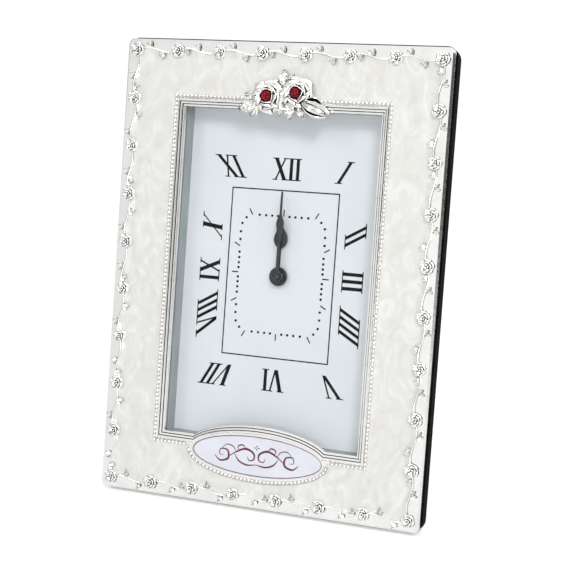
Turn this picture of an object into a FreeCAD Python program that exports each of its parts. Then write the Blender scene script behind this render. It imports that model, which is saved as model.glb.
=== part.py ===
import FreeCAD, Part
import math
import os

from FreeCAD import Vector

# Photo frame clock: a silver-plated cast front with pearl enamel, a garland of relief roses, a window
# with a clock dial behind glass, and a black covered back that stands on a hinged strut.
# Lengths are in millimetres. Every piece is drawn with the clock lying on its back: X to the right,
# Y up the frame and Z out of its front, where Z is 0 on the front plane of the rim and the frame's
# middle is the origin. The last section leans the clock back and stands it on Z = 0.

# Cast front
frame_width = 160.0
frame_height = 214.2
rim_corner_radius = 3.0
rim_bevel = 0.9
front_depth = 2.4
enamel_floor_depth = 1.1
enamel_thickness = 0.7
inlay_clearance = 0.05
cut_overrun = 1.0
edge_tolerance = 0.02

# Garland on the border
garland_inset = 5.2
roses_across = 8
roses_up = 10
vine_swing = 1.1
vine_width = 0.9
vine_rise = 0.35
border_rose_radius = 3.0
border_rose_rise = 1.2

# Window and its moulding
side_border = 31.6
end_border = 30.65
ridge_count = 3
ridge_width = 1.2
outer_ridge_rise = 0.9
ridge_step = 0.7
ridge_rounding = 0.4
bead_band_width = 1.4
bead_band_rise = 0.15

# Oval plaque under the window
plaque_half_width = 32.5
plaque_half_height = 9.4
plaque_drop = 6.35
plaque_thickness = 0.5
plaque_seat_depth = 0.7
bezel_width = 0.9
bezel_rise = 0.4

# Rose spray on the top moulding
spray_rose_radius = 6.9
left_rose_aside = 5.9
left_rose_above = 5.95
right_rose_aside = 8.3
right_rose_above = 7.75
crystal_cup_radius = 2.9
crystal_cup_rise = 3.7
crystal_radius = 2.2
crystal_crown = 0.9
crystal_girdle = 0.2
crystal_pavilion = 1.5
crystal_facets = 8
crystal_culet_share = 0.12
crystal_table_share = 0.6
crystal_clearance = 0.05
leaf_thickness = 1.0
bud_radius = 3.1
peg_radius = 1.0
peg_clearance = 0.05

# Glass, spacer and dial behind the window
insert_margin = 2.5
insert_clearance = 0.3
glass_thickness = 1.8
spacer_depth = 7.6
spacer_setback = 0.2
dial_thickness = 0.7
hub_above_middle = 0.4
hub_right_of_middle = 0.5
hub_tube_radius = 3.5
hub_hole_clearance = 0.1
hub_tube_rise = 1.1

# Black covered backing and its removable panel
backing_overhang = 0.3
backing_corner_radius = 5.5
backing_bevel = 5.0
panel_thickness = 2.0
case_hole_clearance = 0.6

# Turn-buttons that hold the panel
button_length = 14.0
button_width = 7.0
button_thickness = 1.2
button_gap = 0.1
button_reach = 5.0
button_height_share = 0.33
screw_shank_radius = 1.1
screw_shank_length = 7.0
screw_head_radius = 2.6
screw_head_height = 1.3
screw_slot_width = 0.5
screw_slot_depth = 0.6
pivot_clearance = 0.08

# Strut and its hinge
lean_degrees = 10.5
strut_open_degrees = 25.5
strap_case_gap = 1.0
knuckle_radius = 1.8
hinge_pin_radius = 0.9
hinge_pin_clearance = 0.05
hinge_pin_head_radius = 1.4
hinge_pin_head_length = 0.6
knuckle_width = 14.0
knuckle_gap = 0.3
side_knuckle_width = 7.5
strap_width = 64.0
strap_height = 4.4
strap_thickness = 1.0
strut_thickness = 3.0
strut_leaf_thickness = 0.8
strut_leaf_length = 20.0
strut_leaf_width = 26.0
strut_top_width = 34.0
strut_foot_width = 46.0
strut_top_gap = 0.6
strut_overlength = 12.0
heel_length = 3.4
heel_thickness = 0.8
heel_gap = 0.05
rivet_radius = 1.2
rivet_head_radius = 2.2
rivet_head_rise = 0.9
strap_rivet_inset = 5.0
leaf_rivet_place = 12.0
leaf_rivet_spread = 7.0

# Movement case
pad_thickness = 0.5
pad_share = 0.7
pad_hole_radius = 6.0
case_corner_radius = 3.0
case_wall = 1.2
case_lid_thickness = 1.0
case_depth = 15.2
middle_plate_thickness = 0.8
middle_plate_depth = 3.2
fitting_clearance = 0.1
post_radius = 2.0
bearing_boss_radius = 1.6
bearing_clearance = 0.06
end_play = 0.2

# Battery and its contacts
battery_radius = 7.25
battery_length = 49.5
battery_nub_radius = 2.7
battery_nub_length = 1.0
battery_clearance = 0.15
battery_wall = 0.8
contact_thickness = 0.4
contact_width = 9.0
spring_reach = 2.7

# Hands and their arbors
hour_pipe_radius = 2.5
minute_pipe_radius = 1.6
sleeve_clearance = 0.08
hand_thickness = 0.45
hour_hand_above_dial = 1.6
hand_spacing = 2.1
hand_fit = 0.01
hour_boss_radius = 4.4
hour_stem_half_width = 0.6
hour_spade_base = 13.2
hour_spade_half_width = 3.4
hour_spade_widest = 17.8
hour_neck_place = 21.8
hour_neck_half_width = 1.5
hour_hand_length = 26.0
minute_boss_radius = 3.0
minute_stem_half_width = 0.6
minute_leaf_base = 15.0
minute_leaf_half_width = 1.85
minute_leaf_widest = 24.5
minute_needle_base = 29.0
minute_needle_half_width = 0.5
minute_hand_length = 39.4
minute_tip_half_width = 0.3
boss_thickness = 0.9
cap_radius = 1.7
cap_rise = 0.9
cap_bevel = 0.22
cap_hole_radius = 0.8
cap_hole_depth = 0.5

# Gear train: tooth counts, modules and levels
cannon_teeth = 12
minute_wheel_teeth = 36
minute_pinion_teeth = 12
hour_wheel_teeth = 48
set_wheel_teeth = 24
centre_wheel_teeth = 80
train_pinion_teeth = 8
reduction_wheel_teeth = 72
motion_module = 0.4
centre_module = 0.24
rotor_module = 0.2
addendum_share = 0.8
dedendum_share = 1.15
tooth_width_share = 0.40
pressure_angle_degrees = 20.0
wheel_thickness = 0.7
pinion_extra = 0.25
level_gap = 0.3
minute_wheel_bearing = 150.0
set_wheel_bearing = 120.0
reduction_bearing = 30.0
rotor_bearing = 60.0
pivot_radius = 0.5
pivot_entry_share = 0.67
arbor_radius = 0.7

# Setting knob
set_shaft_radius = 1.5
knob_radius = 6.0
knob_thickness = 2.2
knob_gap = 0.3
knob_grip_count = 18
knob_grip_radius = 0.45

# Stepping motor and circuit
magnet_radius = 2.0
magnet_length = 2.2
stator_gap = 0.4
stator_thickness = 0.8
stator_half_width = 11.0
stator_pole_width = 7.6
coil_radius = 3.2
coil_flange_radius = 3.9
coil_flange_thickness = 0.8
coil_core_width = 3.0
coil_above_rotor = 8.6
board_width = 13.0
board_height = 16.0
board_thickness = 0.8
chip_radius = 3.0
chip_rise = 1.1
crystal_can_radius = 1.0
crystal_can_length = 6.0

# Levels, measured along Z from the front plane of the rim
front_back = -front_depth
glass_back = front_back - glass_thickness
dial_front = glass_back - spacer_depth
dial_back = dial_front - dial_thickness
panel_back = dial_back - panel_thickness
lid_front = dial_back - pad_thickness
lid_back = lid_front - case_lid_thickness
case_back = lid_back - case_depth
case_floor = case_back + case_wall
hour_hand_back = dial_front + hour_hand_above_dial
minute_hand_back = hour_hand_back + hand_spacing
hour_wheel_top = lid_back - level_gap
hour_wheel_bottom = hour_wheel_top - wheel_thickness
minute_wheel_top = hour_wheel_bottom - level_gap
minute_wheel_bottom = minute_wheel_top - wheel_thickness
middle_plate_top = lid_back - middle_plate_depth
middle_plate_bottom = middle_plate_top - middle_plate_thickness
upper_pivot_end = middle_plate_bottom + pivot_entry_share * middle_plate_thickness
set_pivot_end = lid_back + pivot_entry_share * case_lid_thickness
centre_wheel_top = middle_plate_bottom - level_gap
centre_wheel_bottom = centre_wheel_top - wheel_thickness
reduction_wheel_top = centre_wheel_bottom - pinion_extra - level_gap
reduction_wheel_bottom = reduction_wheel_top - wheel_thickness
rotor_pinion_bottom = reduction_wheel_bottom - pinion_extra
magnet_top = rotor_pinion_bottom - level_gap
magnet_bottom = magnet_top - magnet_length

# Places across the frame
case_size = 2 * case_wall + contact_thickness + battery_nub_length + battery_length + spring_reach
window_width = frame_width - 2 * side_border
window_height = frame_height - 2 * end_border
plaque_v = -window_height / 2 - plaque_drop
left_rose_place = (-left_rose_aside, window_height / 2 + left_rose_above)
right_rose_place = (right_rose_aside, window_height / 2 + right_rose_above)
moulding_width = ridge_count * ridge_width
insert_width = window_width + 2 * insert_margin
insert_height = window_height + 2 * insert_margin
well_width = insert_width + 2 * insert_clearance
well_height = insert_height + 2 * insert_clearance
backing_width = frame_width + 2 * backing_overhang
backing_height = frame_height + 2 * backing_overhang
hinge_v = hub_above_middle - case_size / 2 - strap_case_gap - strap_height
hinge_w = panel_back - strap_thickness - knuckle_gap - knuckle_radius


def polar(origin, distance, degrees):
    """Return the point at a distance and bearing from an (x, y) origin."""
    angle = math.radians(degrees)
    return (origin[0] + distance * math.cos(angle), origin[1] + distance * math.sin(angle))


# Gear centres, each worked out from the gears that mesh
hub = (hub_right_of_middle, hub_above_middle)
motion_distance = motion_module * (cannon_teeth + minute_wheel_teeth) / 2
hour_module = 2 * motion_distance / (minute_pinion_teeth + hour_wheel_teeth)
minute_wheel_place = polar(hub, motion_distance, minute_wheel_bearing)
set_distance = motion_module * (minute_wheel_teeth + set_wheel_teeth) / 2
set_place = polar(minute_wheel_place, set_distance, set_wheel_bearing)
centre_distance = centre_module * (centre_wheel_teeth + train_pinion_teeth) / 2
reduction_place = polar(hub, centre_distance, reduction_bearing)
rotor_distance = rotor_module * (reduction_wheel_teeth + train_pinion_teeth) / 2
rotor_place = polar(reduction_place, rotor_distance, rotor_bearing)
battery_v = hub[1] - case_size / 2 + case_wall + battery_clearance + battery_radius
battery_w = lid_back - battery_clearance - battery_radius
battery_wall_top = battery_v + battery_radius + battery_clearance + battery_wall
coil_v = rotor_place[1] + coil_above_rotor
stator_top = magnet_top - (magnet_length - stator_thickness) / 2
stator_bottom = stator_top - stator_thickness
core_bottom = stator_bottom - stator_thickness
coil_length = 2 * (stator_half_width - coil_core_width - fitting_clearance)


# Basic solids

def box(width, height, low, high, place=(0.0, 0.0)):
    """Return a box centred on a place, between two levels."""
    corner = Vector(place[0] - width / 2, place[1] - height / 2, low)
    return Part.makeBox(width, height, high - low, corner)


def cylinder(radius, low, high, place=(0.0, 0.0)):
    """Return a cylinder that stands on its end, between two levels."""
    return Part.makeCylinder(radius, high - low, Vector(place[0], place[1], low))


def oval(half_width, half_height, low, high, place_v):
    """Return an elliptical prism between two levels."""
    ellipse = Part.Ellipse(Vector(0, place_v, low), half_width, half_height)
    face = Part.Face(Part.Wire(ellipse.toShape()))
    return face.extrude(Vector(0, 0, high - low))


def rounded_slab(width, height, radius, low, high, place=(0.0, 0.0)):
    """Return a slab with four rounded upright corners."""
    slab = box(width, height, low, high, place)
    return slab.makeFillet(radius, upright_edges(slab, low, high))


def upright_edges(solid, low, high):
    """Return the edges that run straight up from one level to another."""
    found = []
    for edge in solid.Edges:
        span = edge.BoundBox
        if abs(span.ZLength - (high - low)) < edge_tolerance:
            if span.XLength < edge_tolerance and span.YLength < edge_tolerance:
                found.append(edge)
    return found


def level_edges(solid, level):
    """Return the edges that lie flat at one level."""
    found = []
    for edge in solid.Edges:
        span = edge.BoundBox
        if abs(span.ZMin - level) < edge_tolerance and abs(span.ZMax - level) < edge_tolerance:
            found.append(edge)
    return found


def prism(edges, low, high):
    """Extrude a closed chain of edges, drawn at level zero, between two levels."""
    face = Part.Face(Part.Wire(edges))
    face.translate(Vector(0, 0, low))
    return face.extrude(Vector(0, 0, high - low))


def fuse_all(solids):
    """Join touching solids into one."""
    joined = solids[0].multiFuse(solids[1:])
    return joined.removeSplitter()


# Outlines of the cast front

def wave_points(start, end, waves, side_swing):
    """Return the arc points of a vine that swings either side of the line between two corners."""
    along = (end - start) / (2 * waves)
    across = Vector(-along.y, along.x, 0)
    across.normalize()
    arcs = []
    for index in range(2 * waves):
        first = start + along * index
        last = first + along
        swing = side_swing if index % 2 == 0 else -side_swing
        middle = (first + last) / 2 + across * swing
        arcs.append((first, middle, last))
    return arcs


def shifted_arc(arc, shift):
    """Return an arc moved sideways, to the left of its direction of travel."""
    first, middle, last = arc
    circle = Part.Circle(first, middle, last)
    centre = circle.Center
    turn = (middle - first).cross(last - middle).z
    radius = circle.Radius - shift if turn > 0 else circle.Radius + shift
    moved = []
    for point in arc:
        outward = point - centre
        outward.normalize()
        moved.append(centre + outward * radius)
    return moved


def garland_side(start, end, waves, shift, low, high):
    """Return the space on the inner side of one side's vine, out beyond the frame."""
    beyond = end - start
    beyond.normalize()
    beyond = beyond * frame_width
    inwards = Vector(-beyond.y, beyond.x, 0) * 2
    arcs = [shifted_arc(arc, shift) for arc in wave_points(start, end, waves, vine_swing)]
    first = arcs[0][0]
    last = arcs[-1][2]
    edges = [Part.LineSegment(first - beyond, first).toShape()]
    edges.extend(Part.Arc(*points).toShape() for points in arcs)
    corners = [last, last + beyond, last + beyond + inwards, first - beyond + inwards, first - beyond]
    for index in range(len(corners) - 1):
        edges.append(Part.LineSegment(corners[index], corners[index + 1]).toShape())
    return prism(edges, low, high)


def garland_space(shift, low, high):
    """Return the space inside the vine's wavy line, moved inwards by a shift."""
    half_x = frame_width / 2 - garland_inset
    half_y = frame_height / 2 - garland_inset
    corners = [Vector(-half_x, -half_y, 0), Vector(half_x, -half_y, 0),
               Vector(half_x, half_y, 0), Vector(-half_x, half_y, 0)]
    waves = [roses_across - 1, roses_up - 1, roses_across - 1, roses_up - 1]
    space = box(frame_width, frame_height, low, high)
    for index in range(4):
        space = space.common(garland_side(corners[index], corners[(index + 1) % 4], waves[index],
                                          shift, low, high))
    return space


def garland_rose_places():
    """Return the centres of the relief roses, once round the border."""
    half_x = frame_width / 2 - garland_inset
    half_y = frame_height / 2 - garland_inset
    places = []
    for index in range(roses_across):
        x = -half_x + 2 * half_x * index / (roses_across - 1)
        places.append((x, half_y))
        places.append((x, -half_y))
    for index in range(1, roses_up - 1):
        y = -half_y + 2 * half_y * index / (roses_up - 1)
        places.append((half_x, y))
        places.append((-half_x, y))
    return places


def window_opening(grow, low, high):
    """Return the window's space, widened by a margin, less the arch over the plaque."""
    arch_half_width = plaque_half_width + bezel_width + moulding_width - grow
    arch_half_height = plaque_half_height + bezel_width + moulding_width - grow
    space = box(window_width + 2 * grow, window_height + 2 * grow, low, high)
    arch = oval(arch_half_width, arch_half_height, low - cut_overrun, high + cut_overrun, plaque_v)
    return space.cut(arch)


def moulding_footprint(grow, low, high):
    """Return everything inside the beaded edge: window, moulding and plaque together."""
    space = box(window_width + 2 * (moulding_width + grow), window_height + 2 * (moulding_width + grow),
                low, high)
    plaque = oval(plaque_half_width + bezel_width + grow, plaque_half_height + bezel_width + grow,
                  low, high, plaque_v)
    return space.fuse(plaque)


# Cast front and what is laid into it

def front_frame():
    """One casting: rim, enamel recess, garland, moulding with its arch, and the plaque's bezel."""
    plate = rounded_slab(frame_width, frame_height, rim_corner_radius, -front_depth, 0)
    plate = plate.makeChamfer(rim_bevel, level_edges(plate, 0))
    recess = garland_space(vine_width / 2, -enamel_floor_depth, cut_overrun)
    body = plate.cut(recess)
    vine = garland_space(-vine_width / 2, -enamel_floor_depth, vine_rise)
    vine = vine.cut(garland_space(vine_width / 2, -front_depth, cut_overrun))
    parts = [body, vine, border_relief()]
    rail = moulding_footprint(bead_band_width, -enamel_floor_depth, bead_band_rise)
    rail = rail.cut(moulding_footprint(0, -front_depth, cut_overrun))
    parts.append(rail)
    for index in range(ridge_count):
        outside = moulding_width - index * ridge_width
        top = outer_ridge_rise - index * ridge_step
        ridge = window_opening(outside, -enamel_floor_depth, top)
        ridge = ridge.cut(window_opening(outside - ridge_width, -front_depth, top + cut_overrun))
        parts.append(rounded_top(ridge, top))
    parts.append(plaque_bezel())
    casting = fuse_all(parts)
    casting = casting.cut(window_opening(0, -front_depth - cut_overrun, 0))
    for place in (left_rose_place, right_rose_place):
        casting = casting.cut(cylinder(peg_radius + peg_clearance, -front_depth - cut_overrun,
                                       outer_ridge_rise + cut_overrun, place))
    return casting


def rounded_top(ring, top):
    """Round the upper edges of a ridge, so that it reads as a reed."""
    return ring.makeChamfer(ridge_rounding, level_edges(ring, top))


def plaque_bezel():
    """The narrow upright edge that holds the oval plaque, with its seat."""
    outside = oval(plaque_half_width + bezel_width, plaque_half_height + bezel_width,
                   -enamel_floor_depth, bezel_rise, plaque_v)
    seat = oval(plaque_half_width, plaque_half_height, -plaque_seat_depth, bezel_rise + cut_overrun, plaque_v)
    return outside.cut(seat)


def border_relief():
    """The low domes of the garland's roses, standing on the rim and the recess floor."""
    ball_radius = (border_rose_radius ** 2 + border_rose_rise ** 2) / (2 * border_rose_rise)
    ball_level = border_rose_rise - ball_radius
    domes = []
    for place in garland_rose_places():
        ball = Part.makeSphere(ball_radius, Vector(place[0], place[1], ball_level))
        column = cylinder(border_rose_radius, -enamel_floor_depth, border_rose_rise, place)
        domes.append(ball.common(column))
    return Part.makeCompound(domes)


def enamel_panel():
    """The pearl enamel that fills the recess between the garland and the beaded edge."""
    top = enamel_thickness - enamel_floor_depth
    panel = garland_space(vine_width / 2 + inlay_clearance, -enamel_floor_depth, top)
    panel = panel.cut(moulding_footprint(bead_band_width + inlay_clearance, -front_depth, cut_overrun))
    for place in garland_rose_places():
        panel = panel.cut(cylinder(border_rose_radius + inlay_clearance, -front_depth, cut_overrun, place))
    for place in (left_rose_place, right_rose_place):
        panel = panel.cut(cylinder(peg_radius + peg_clearance, -front_depth, cut_overrun, place))
    return panel


def oval_plaque():
    """The printed oval plaque that lies in the bezel."""
    return oval(plaque_half_width - inlay_clearance, plaque_half_height - inlay_clearance,
                -plaque_seat_depth, plaque_thickness - plaque_seat_depth, plaque_v)


# Rose spray

petal_ring_shares = ((0.40, 0.58, 5, 0.10, 0.05), (0.30, 0.34, 5, 0.45, 0.24))


def spray_rose(place, turn_share):
    """One full rose: two rings of round petals about a cup, cut flat behind."""
    solids = [cylinder(crystal_cup_radius, outer_ridge_rise, outer_ridge_rise + crystal_cup_rise, place)]
    for size_share, reach_share, count, twist_share, lift_share in petal_ring_shares:
        for index in range(count):
            degrees = 360 * (index + twist_share + turn_share) / count
            centre = polar(place, reach_share * spray_rose_radius, degrees)
            level = outer_ridge_rise + lift_share * spray_rose_radius
            petal = Part.makeSphere(size_share * spray_rose_radius, Vector(centre[0], centre[1], level))
            solids.append(petal)
    return solids


leaf_shares = (
    (-1.62, -0.62, 194, 1.57, 0.80),
    (-1.55, -0.45, 158, 0.95, 0.60),
    (0.12, 0.39, 95, 1.19, 0.72),
    (-0.03, -0.33, 263, 1.05, 0.60),
    (0.33, -0.41, 283, 1.23, 0.72),
    (1.00, -0.55, 300, 0.95, 0.60),
)


def leaf(root, degrees, length, width):
    """A pointed leaf between two arcs."""
    tip = polar(root, length, degrees)
    middle = polar(root, length / 2, degrees)
    left = polar(middle, width / 2, degrees + 90)
    right = polar(middle, width / 2, degrees - 90)
    start = Vector(root[0], root[1], 0)
    end = Vector(tip[0], tip[1], 0)
    edges = [Part.Arc(start, Vector(left[0], left[1], 0), end).toShape(),
             Part.Arc(end, Vector(right[0], right[1], 0), start).toShape()]
    return prism(edges, outer_ridge_rise, outer_ridge_rise + leaf_thickness)


def bud(root, degrees, length):
    """A closed bud: a spindle that lies on the seat."""
    tip = polar(root, length, degrees)
    start = Vector(root[0], root[1], outer_ridge_rise)
    end = Vector(tip[0], tip[1], outer_ridge_rise)
    crest = (start + end) / 2 + Vector(0, 0, bud_radius)
    face = Part.Face(Part.Wire([Part.Arc(start, crest, end).toShape(),
                                Part.LineSegment(end, start).toShape()]))
    return face.revolve(start, end - start, 360)


bud_root_shares = (1.55, -0.55)
bud_bearing = -20.0
bud_length_share = 1.80


def spray_middle():
    """Return the middle of the spray, half way between its roses."""
    return ((left_rose_place[0] + right_rose_place[0]) / 2, (left_rose_place[1] + right_rose_place[1]) / 2)


def spray_place(share_x, share_y):
    """Return a place on the spray, in shares of a rose's radius from its middle."""
    middle = spray_middle()
    return (middle[0] + share_x * spray_rose_radius, middle[1] + share_y * spray_rose_radius)


def rose_spray():
    """The applied spray: two roses, leaves and a bud in one casting, pegged through the front."""
    solids = spray_rose(left_rose_place, 0.0) + spray_rose(right_rose_place, 0.5)
    unit = spray_rose_radius
    for share_x, share_y, degrees, length_share, width_share in leaf_shares:
        solids.append(leaf(spray_place(share_x, share_y), degrees, length_share * unit, width_share * unit))
    solids.append(bud(spray_place(*bud_root_shares), bud_bearing, bud_length_share * unit))
    span = Vector(right_rose_place[0] - left_rose_place[0], right_rose_place[1] - left_rose_place[1], 0)
    solids.append(leaf(left_rose_place, math.degrees(math.atan2(span.y, span.x)), span.Length, unit))
    spray = fuse_all(solids)
    spray = spray.cut(box(frame_width, frame_height, -front_depth - spray_rose_radius, outer_ridge_rise))
    seat_depth = crystal_pavilion + crystal_girdle
    for place in (left_rose_place, right_rose_place):
        top = outer_ridge_rise + crystal_cup_rise
        spray = spray.cut(cylinder(crystal_radius + crystal_clearance, top - seat_depth,
                                   top + spray_rose_radius, place))
        spray = spray.fuse(cylinder(peg_radius, -front_depth, outer_ridge_rise + cut_overrun, place))
    return spray.removeSplitter()


def spray_crystals():
    """The two red cut stones that sit in the cups of the roses."""
    stones = []
    girdle_top = crystal_pavilion + crystal_girdle
    levels = ((crystal_culet_share, 0), (1, crystal_pavilion), (1, girdle_top),
              (crystal_table_share, girdle_top + crystal_crown))
    for place in (left_rose_place, right_rose_place):
        floor = outer_ridge_rise + crystal_cup_rise - crystal_pavilion - crystal_girdle
        rings = []
        for radius_share, height in levels:
            points = []
            for index in range(crystal_facets):
                spot = polar(place, radius_share * crystal_radius, 360 * index / crystal_facets)
                points.append(Vector(spot[0], spot[1], floor + height))
            rings.append(Part.makePolygon(points + [points[0]]))
        stones.append(Part.makeLoft(rings, True, True))
    return Part.makeCompound(stones)


# Glass, spacer, dial and backing

def window_glass():
    """The flat glass behind the window."""
    return box(insert_width, insert_height, glass_back, front_back)


def spacer_walls():
    """Four strips that hold the dial back from the glass and line the window's depth."""
    inner_width = window_width + 2 * spacer_setback
    inner_height = window_height + 2 * spacer_setback
    wall_x = (insert_width - inner_width) / 2
    wall_y = (insert_height - inner_height) / 2
    side_place = (inner_width + wall_x) / 2
    end_place = (inner_height + wall_y) / 2
    strips = []
    for sign in (-1, 1):
        strips.append(box(wall_x, insert_height, dial_front, glass_back, (sign * side_place, 0)))
        strips.append(box(inner_width, wall_y, dial_front, glass_back, (0, sign * end_place)))
    return Part.makeCompound(strips)


def dial_plate():
    """The printed dial, with a hole for the movement's hub."""
    plate = box(insert_width, insert_height, dial_back, dial_front)
    hole = cylinder(hub_tube_radius + hub_hole_clearance, dial_back - cut_overrun,
                    dial_front + cut_overrun, hub)
    return plate.cut(hole)


def button_places():
    """Return the pivots of the four turn-buttons, on the backing beside the panel."""
    reach = well_width / 2 + button_length - button_reach - button_width / 2
    level = button_height_share * insert_height
    return [(side * reach, end * level, side) for side in (-1, 1) for end in (-1, 1)]


def backing_frame():
    """The black covered board behind the casting, with a well for everything behind the window."""
    board = rounded_slab(backing_width, backing_height, backing_corner_radius, panel_back, front_back)
    board = board.makeChamfer(backing_bevel, level_edges(board, panel_back))
    board = board.cut(box(well_width, well_height, panel_back - cut_overrun, front_back + cut_overrun))
    for place in button_places():
        board = board.cut(cylinder(screw_shank_radius, panel_back - cut_overrun,
                                   panel_back + screw_shank_length, place[:2]))
    return board


def back_panel():
    """The removable panel that closes the well, with a square hole for the movement."""
    panel = box(insert_width, insert_height, panel_back, dial_back)
    hole_size = case_size + 2 * case_hole_clearance
    panel = panel.cut(box(hole_size, hole_size, panel_back - cut_overrun, dial_back + cut_overrun, hub))
    for place in strap_rivet_places():
        panel = panel.cut(cylinder(rivet_radius, panel_back - cut_overrun, dial_back + cut_overrun, place))
    return panel


def turn_button(place):
    """A flat oblong button with its pivot hole near the outer end."""
    pivot_x, pivot_y, side = place
    bottom = panel_back - button_gap - button_thickness
    inner_end = pivot_x - side * (button_length - button_width)
    body = box(button_length - button_width, button_width, bottom, bottom + button_thickness,
               ((pivot_x + inner_end) / 2, pivot_y))
    for end_x in (pivot_x, inner_end):
        body = body.fuse(cylinder(button_width / 2, bottom, bottom + button_thickness, (end_x, pivot_y)))
    hole = cylinder(screw_shank_radius + pivot_clearance, bottom - cut_overrun,
                    bottom + button_thickness + cut_overrun, (pivot_x, pivot_y))
    return body.removeSplitter().cut(hole)


def button_screws():
    """Four slotted round-head screws that the turn-buttons pivot on."""
    head_top = panel_back - 2 * button_gap - button_thickness
    screws = []
    for pivot_x, pivot_y, _ in button_places():
        shank = cylinder(screw_shank_radius, head_top, panel_back + screw_shank_length, (pivot_x, pivot_y))
        head = cylinder(screw_head_radius, head_top - screw_head_height, head_top, (pivot_x, pivot_y))
        head = head.makeFillet(screw_head_height / 2, level_edges(head, head_top - screw_head_height))
        slot = box(2 * screw_head_radius, screw_slot_width, head_top - screw_head_height - cut_overrun,
                   head_top - screw_head_height + screw_slot_depth, (pivot_x, pivot_y))
        screws.append(shank.fuse(head).cut(slot).removeSplitter())
    return Part.makeCompound(screws)


# Strut and hinge, drawn folded flat against the panel unless a comment says otherwise

def along_x(radius, width, middle_x=0.0):
    """Return a cylinder on the hinge axis."""
    start = Vector(middle_x - width / 2, hinge_v, hinge_w)
    return Part.makeCylinder(radius, width, start, Vector(1, 0, 0))


def side_knuckle_places():
    """Return the middles of the two knuckles that the strap carries."""
    reach = knuckle_width / 2 + knuckle_gap + side_knuckle_width / 2
    return (-reach, reach)


def strap_rivet_places():
    """Return the two rivets that hold the strap to the panel."""
    reach = strap_width / 2 - strap_rivet_inset
    level = hinge_v + strap_height / 2
    return [(-reach, level), (reach, level)]


def hinge_strap():
    """The fixed steel strap on the panel, with a knuckle on each side of the strut's."""
    strap = box(strap_width, strap_height, panel_back - strap_thickness, panel_back,
                (0, hinge_v + strap_height / 2))
    solids = [strap]
    for middle in side_knuckle_places():
        solids.append(along_x(knuckle_radius, side_knuckle_width, middle))
        solids.append(box(side_knuckle_width, knuckle_radius, hinge_w, panel_back,
                          (middle, hinge_v + knuckle_radius / 2)))
    hinge = fuse_all(solids)
    hinge = hinge.cut(along_x(hinge_pin_radius + hinge_pin_clearance, strap_width))
    for place in strap_rivet_places():
        hinge = hinge.cut(cylinder(rivet_radius, panel_back - strap_thickness - cut_overrun,
                                   panel_back + cut_overrun, place))
    return hinge


def domed_rivet(place, far_end, near_end, head_level):
    """A rivet along Z with a low domed head behind head_level."""
    ball_radius = (rivet_head_radius ** 2 + rivet_head_rise ** 2) / (2 * rivet_head_rise)
    ball_level = head_level - rivet_head_rise + ball_radius
    ball = Part.makeSphere(ball_radius, Vector(place[0], place[1], ball_level))
    head = ball.common(cylinder(rivet_head_radius, head_level - rivet_head_rise, head_level, place))
    shank = cylinder(rivet_radius, min(far_end, near_end), max(far_end, near_end), place)
    return head.fuse(shank).removeSplitter()


def strap_rivets():
    """Two rivets through the strap and the panel."""
    level = panel_back - strap_thickness
    return Part.makeCompound([domed_rivet(place, dial_back, level, level) for place in strap_rivet_places()])


def hinge_pin():
    """The hinge's pin, with a flat head outside each side knuckle."""
    span = knuckle_width + 2 * knuckle_gap + 2 * side_knuckle_width + 2 * hinge_pin_clearance
    pin = along_x(hinge_pin_radius, span)
    for side in (-1, 1):
        pin = pin.fuse(along_x(hinge_pin_head_radius, hinge_pin_head_length,
                               side * (span + hinge_pin_head_length) / 2))
    return pin.removeSplitter()


def opened(solid):
    """Swing a piece of the strut from folded to its open stop."""
    turned = solid.copy()
    turned.rotate(Vector(0, hinge_v, hinge_w), Vector(1, 0, 0), strut_open_degrees)
    return turned


def leaf_rivet_places():
    """Return the two rivets that hold the hinge leaf to the strut, with the strut folded."""
    level = hinge_v - leaf_rivet_place
    return [(-leaf_rivet_spread, level), (leaf_rivet_spread, level)]


def strut_board_levels():
    """Return the strut board's outer and inner levels, with the strut folded."""
    outer = hinge_w - knuckle_radius + strut_leaf_thickness
    return outer, outer + strut_thickness


def easel_strut():
    """The black covered strut board, tapered from a wide foot, with its foot cut flat to the table."""
    low, high = strut_board_levels()
    top = hinge_v - knuckle_radius - strut_top_gap
    foot = -backing_height / 2 - strut_overlength
    points = [Vector(-strut_top_width / 2, top, 0), Vector(strut_top_width / 2, top, 0),
              Vector(strut_foot_width / 2, foot, 0), Vector(-strut_foot_width / 2, foot, 0)]
    board = prism(Part.makePolygon(points + [points[0]]).Edges, low, high)
    for place in leaf_rivet_places():
        board = board.cut(cylinder(rivet_radius, low - cut_overrun, high + cut_overrun, place))
    return opened(board)


def strut_leaf():
    """The hinge leaf on the strut: middle knuckle, plate, and the heel that stops the strut."""
    low, _ = strut_board_levels()
    plate_top = hinge_v - knuckle_radius - strut_top_gap
    plate = box(strut_leaf_width, strut_leaf_length, low - strut_leaf_thickness, low,
                (0, plate_top - strut_leaf_length / 2))
    neck = box(knuckle_width, hinge_v - plate_top, low - strut_leaf_thickness, low,
               (0, (hinge_v + plate_top) / 2))
    folded = fuse_all([along_x(knuckle_radius, knuckle_width), plate, neck])
    for place in leaf_rivet_places():
        folded = folded.cut(cylinder(rivet_radius, low - strut_leaf_thickness - cut_overrun,
                                     low + cut_overrun, place))
    heel_top = panel_back - strap_thickness - heel_gap
    heel = box(knuckle_width, heel_length, heel_top - heel_thickness, heel_top,
               (0, hinge_v + heel_length / 2))
    leaf_solid = opened(folded).fuse(heel).removeSplitter()
    return leaf_solid.cut(along_x(hinge_pin_radius + hinge_pin_clearance, strap_width))


def leaf_rivets():
    """Two rivets through the hinge leaf and the strut board."""
    low, high = strut_board_levels()
    level = low - strut_leaf_thickness
    rivets = [domed_rivet(place, high, level, level) for place in leaf_rivet_places()]
    return opened(Part.makeCompound(rivets))


# Gears

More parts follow.
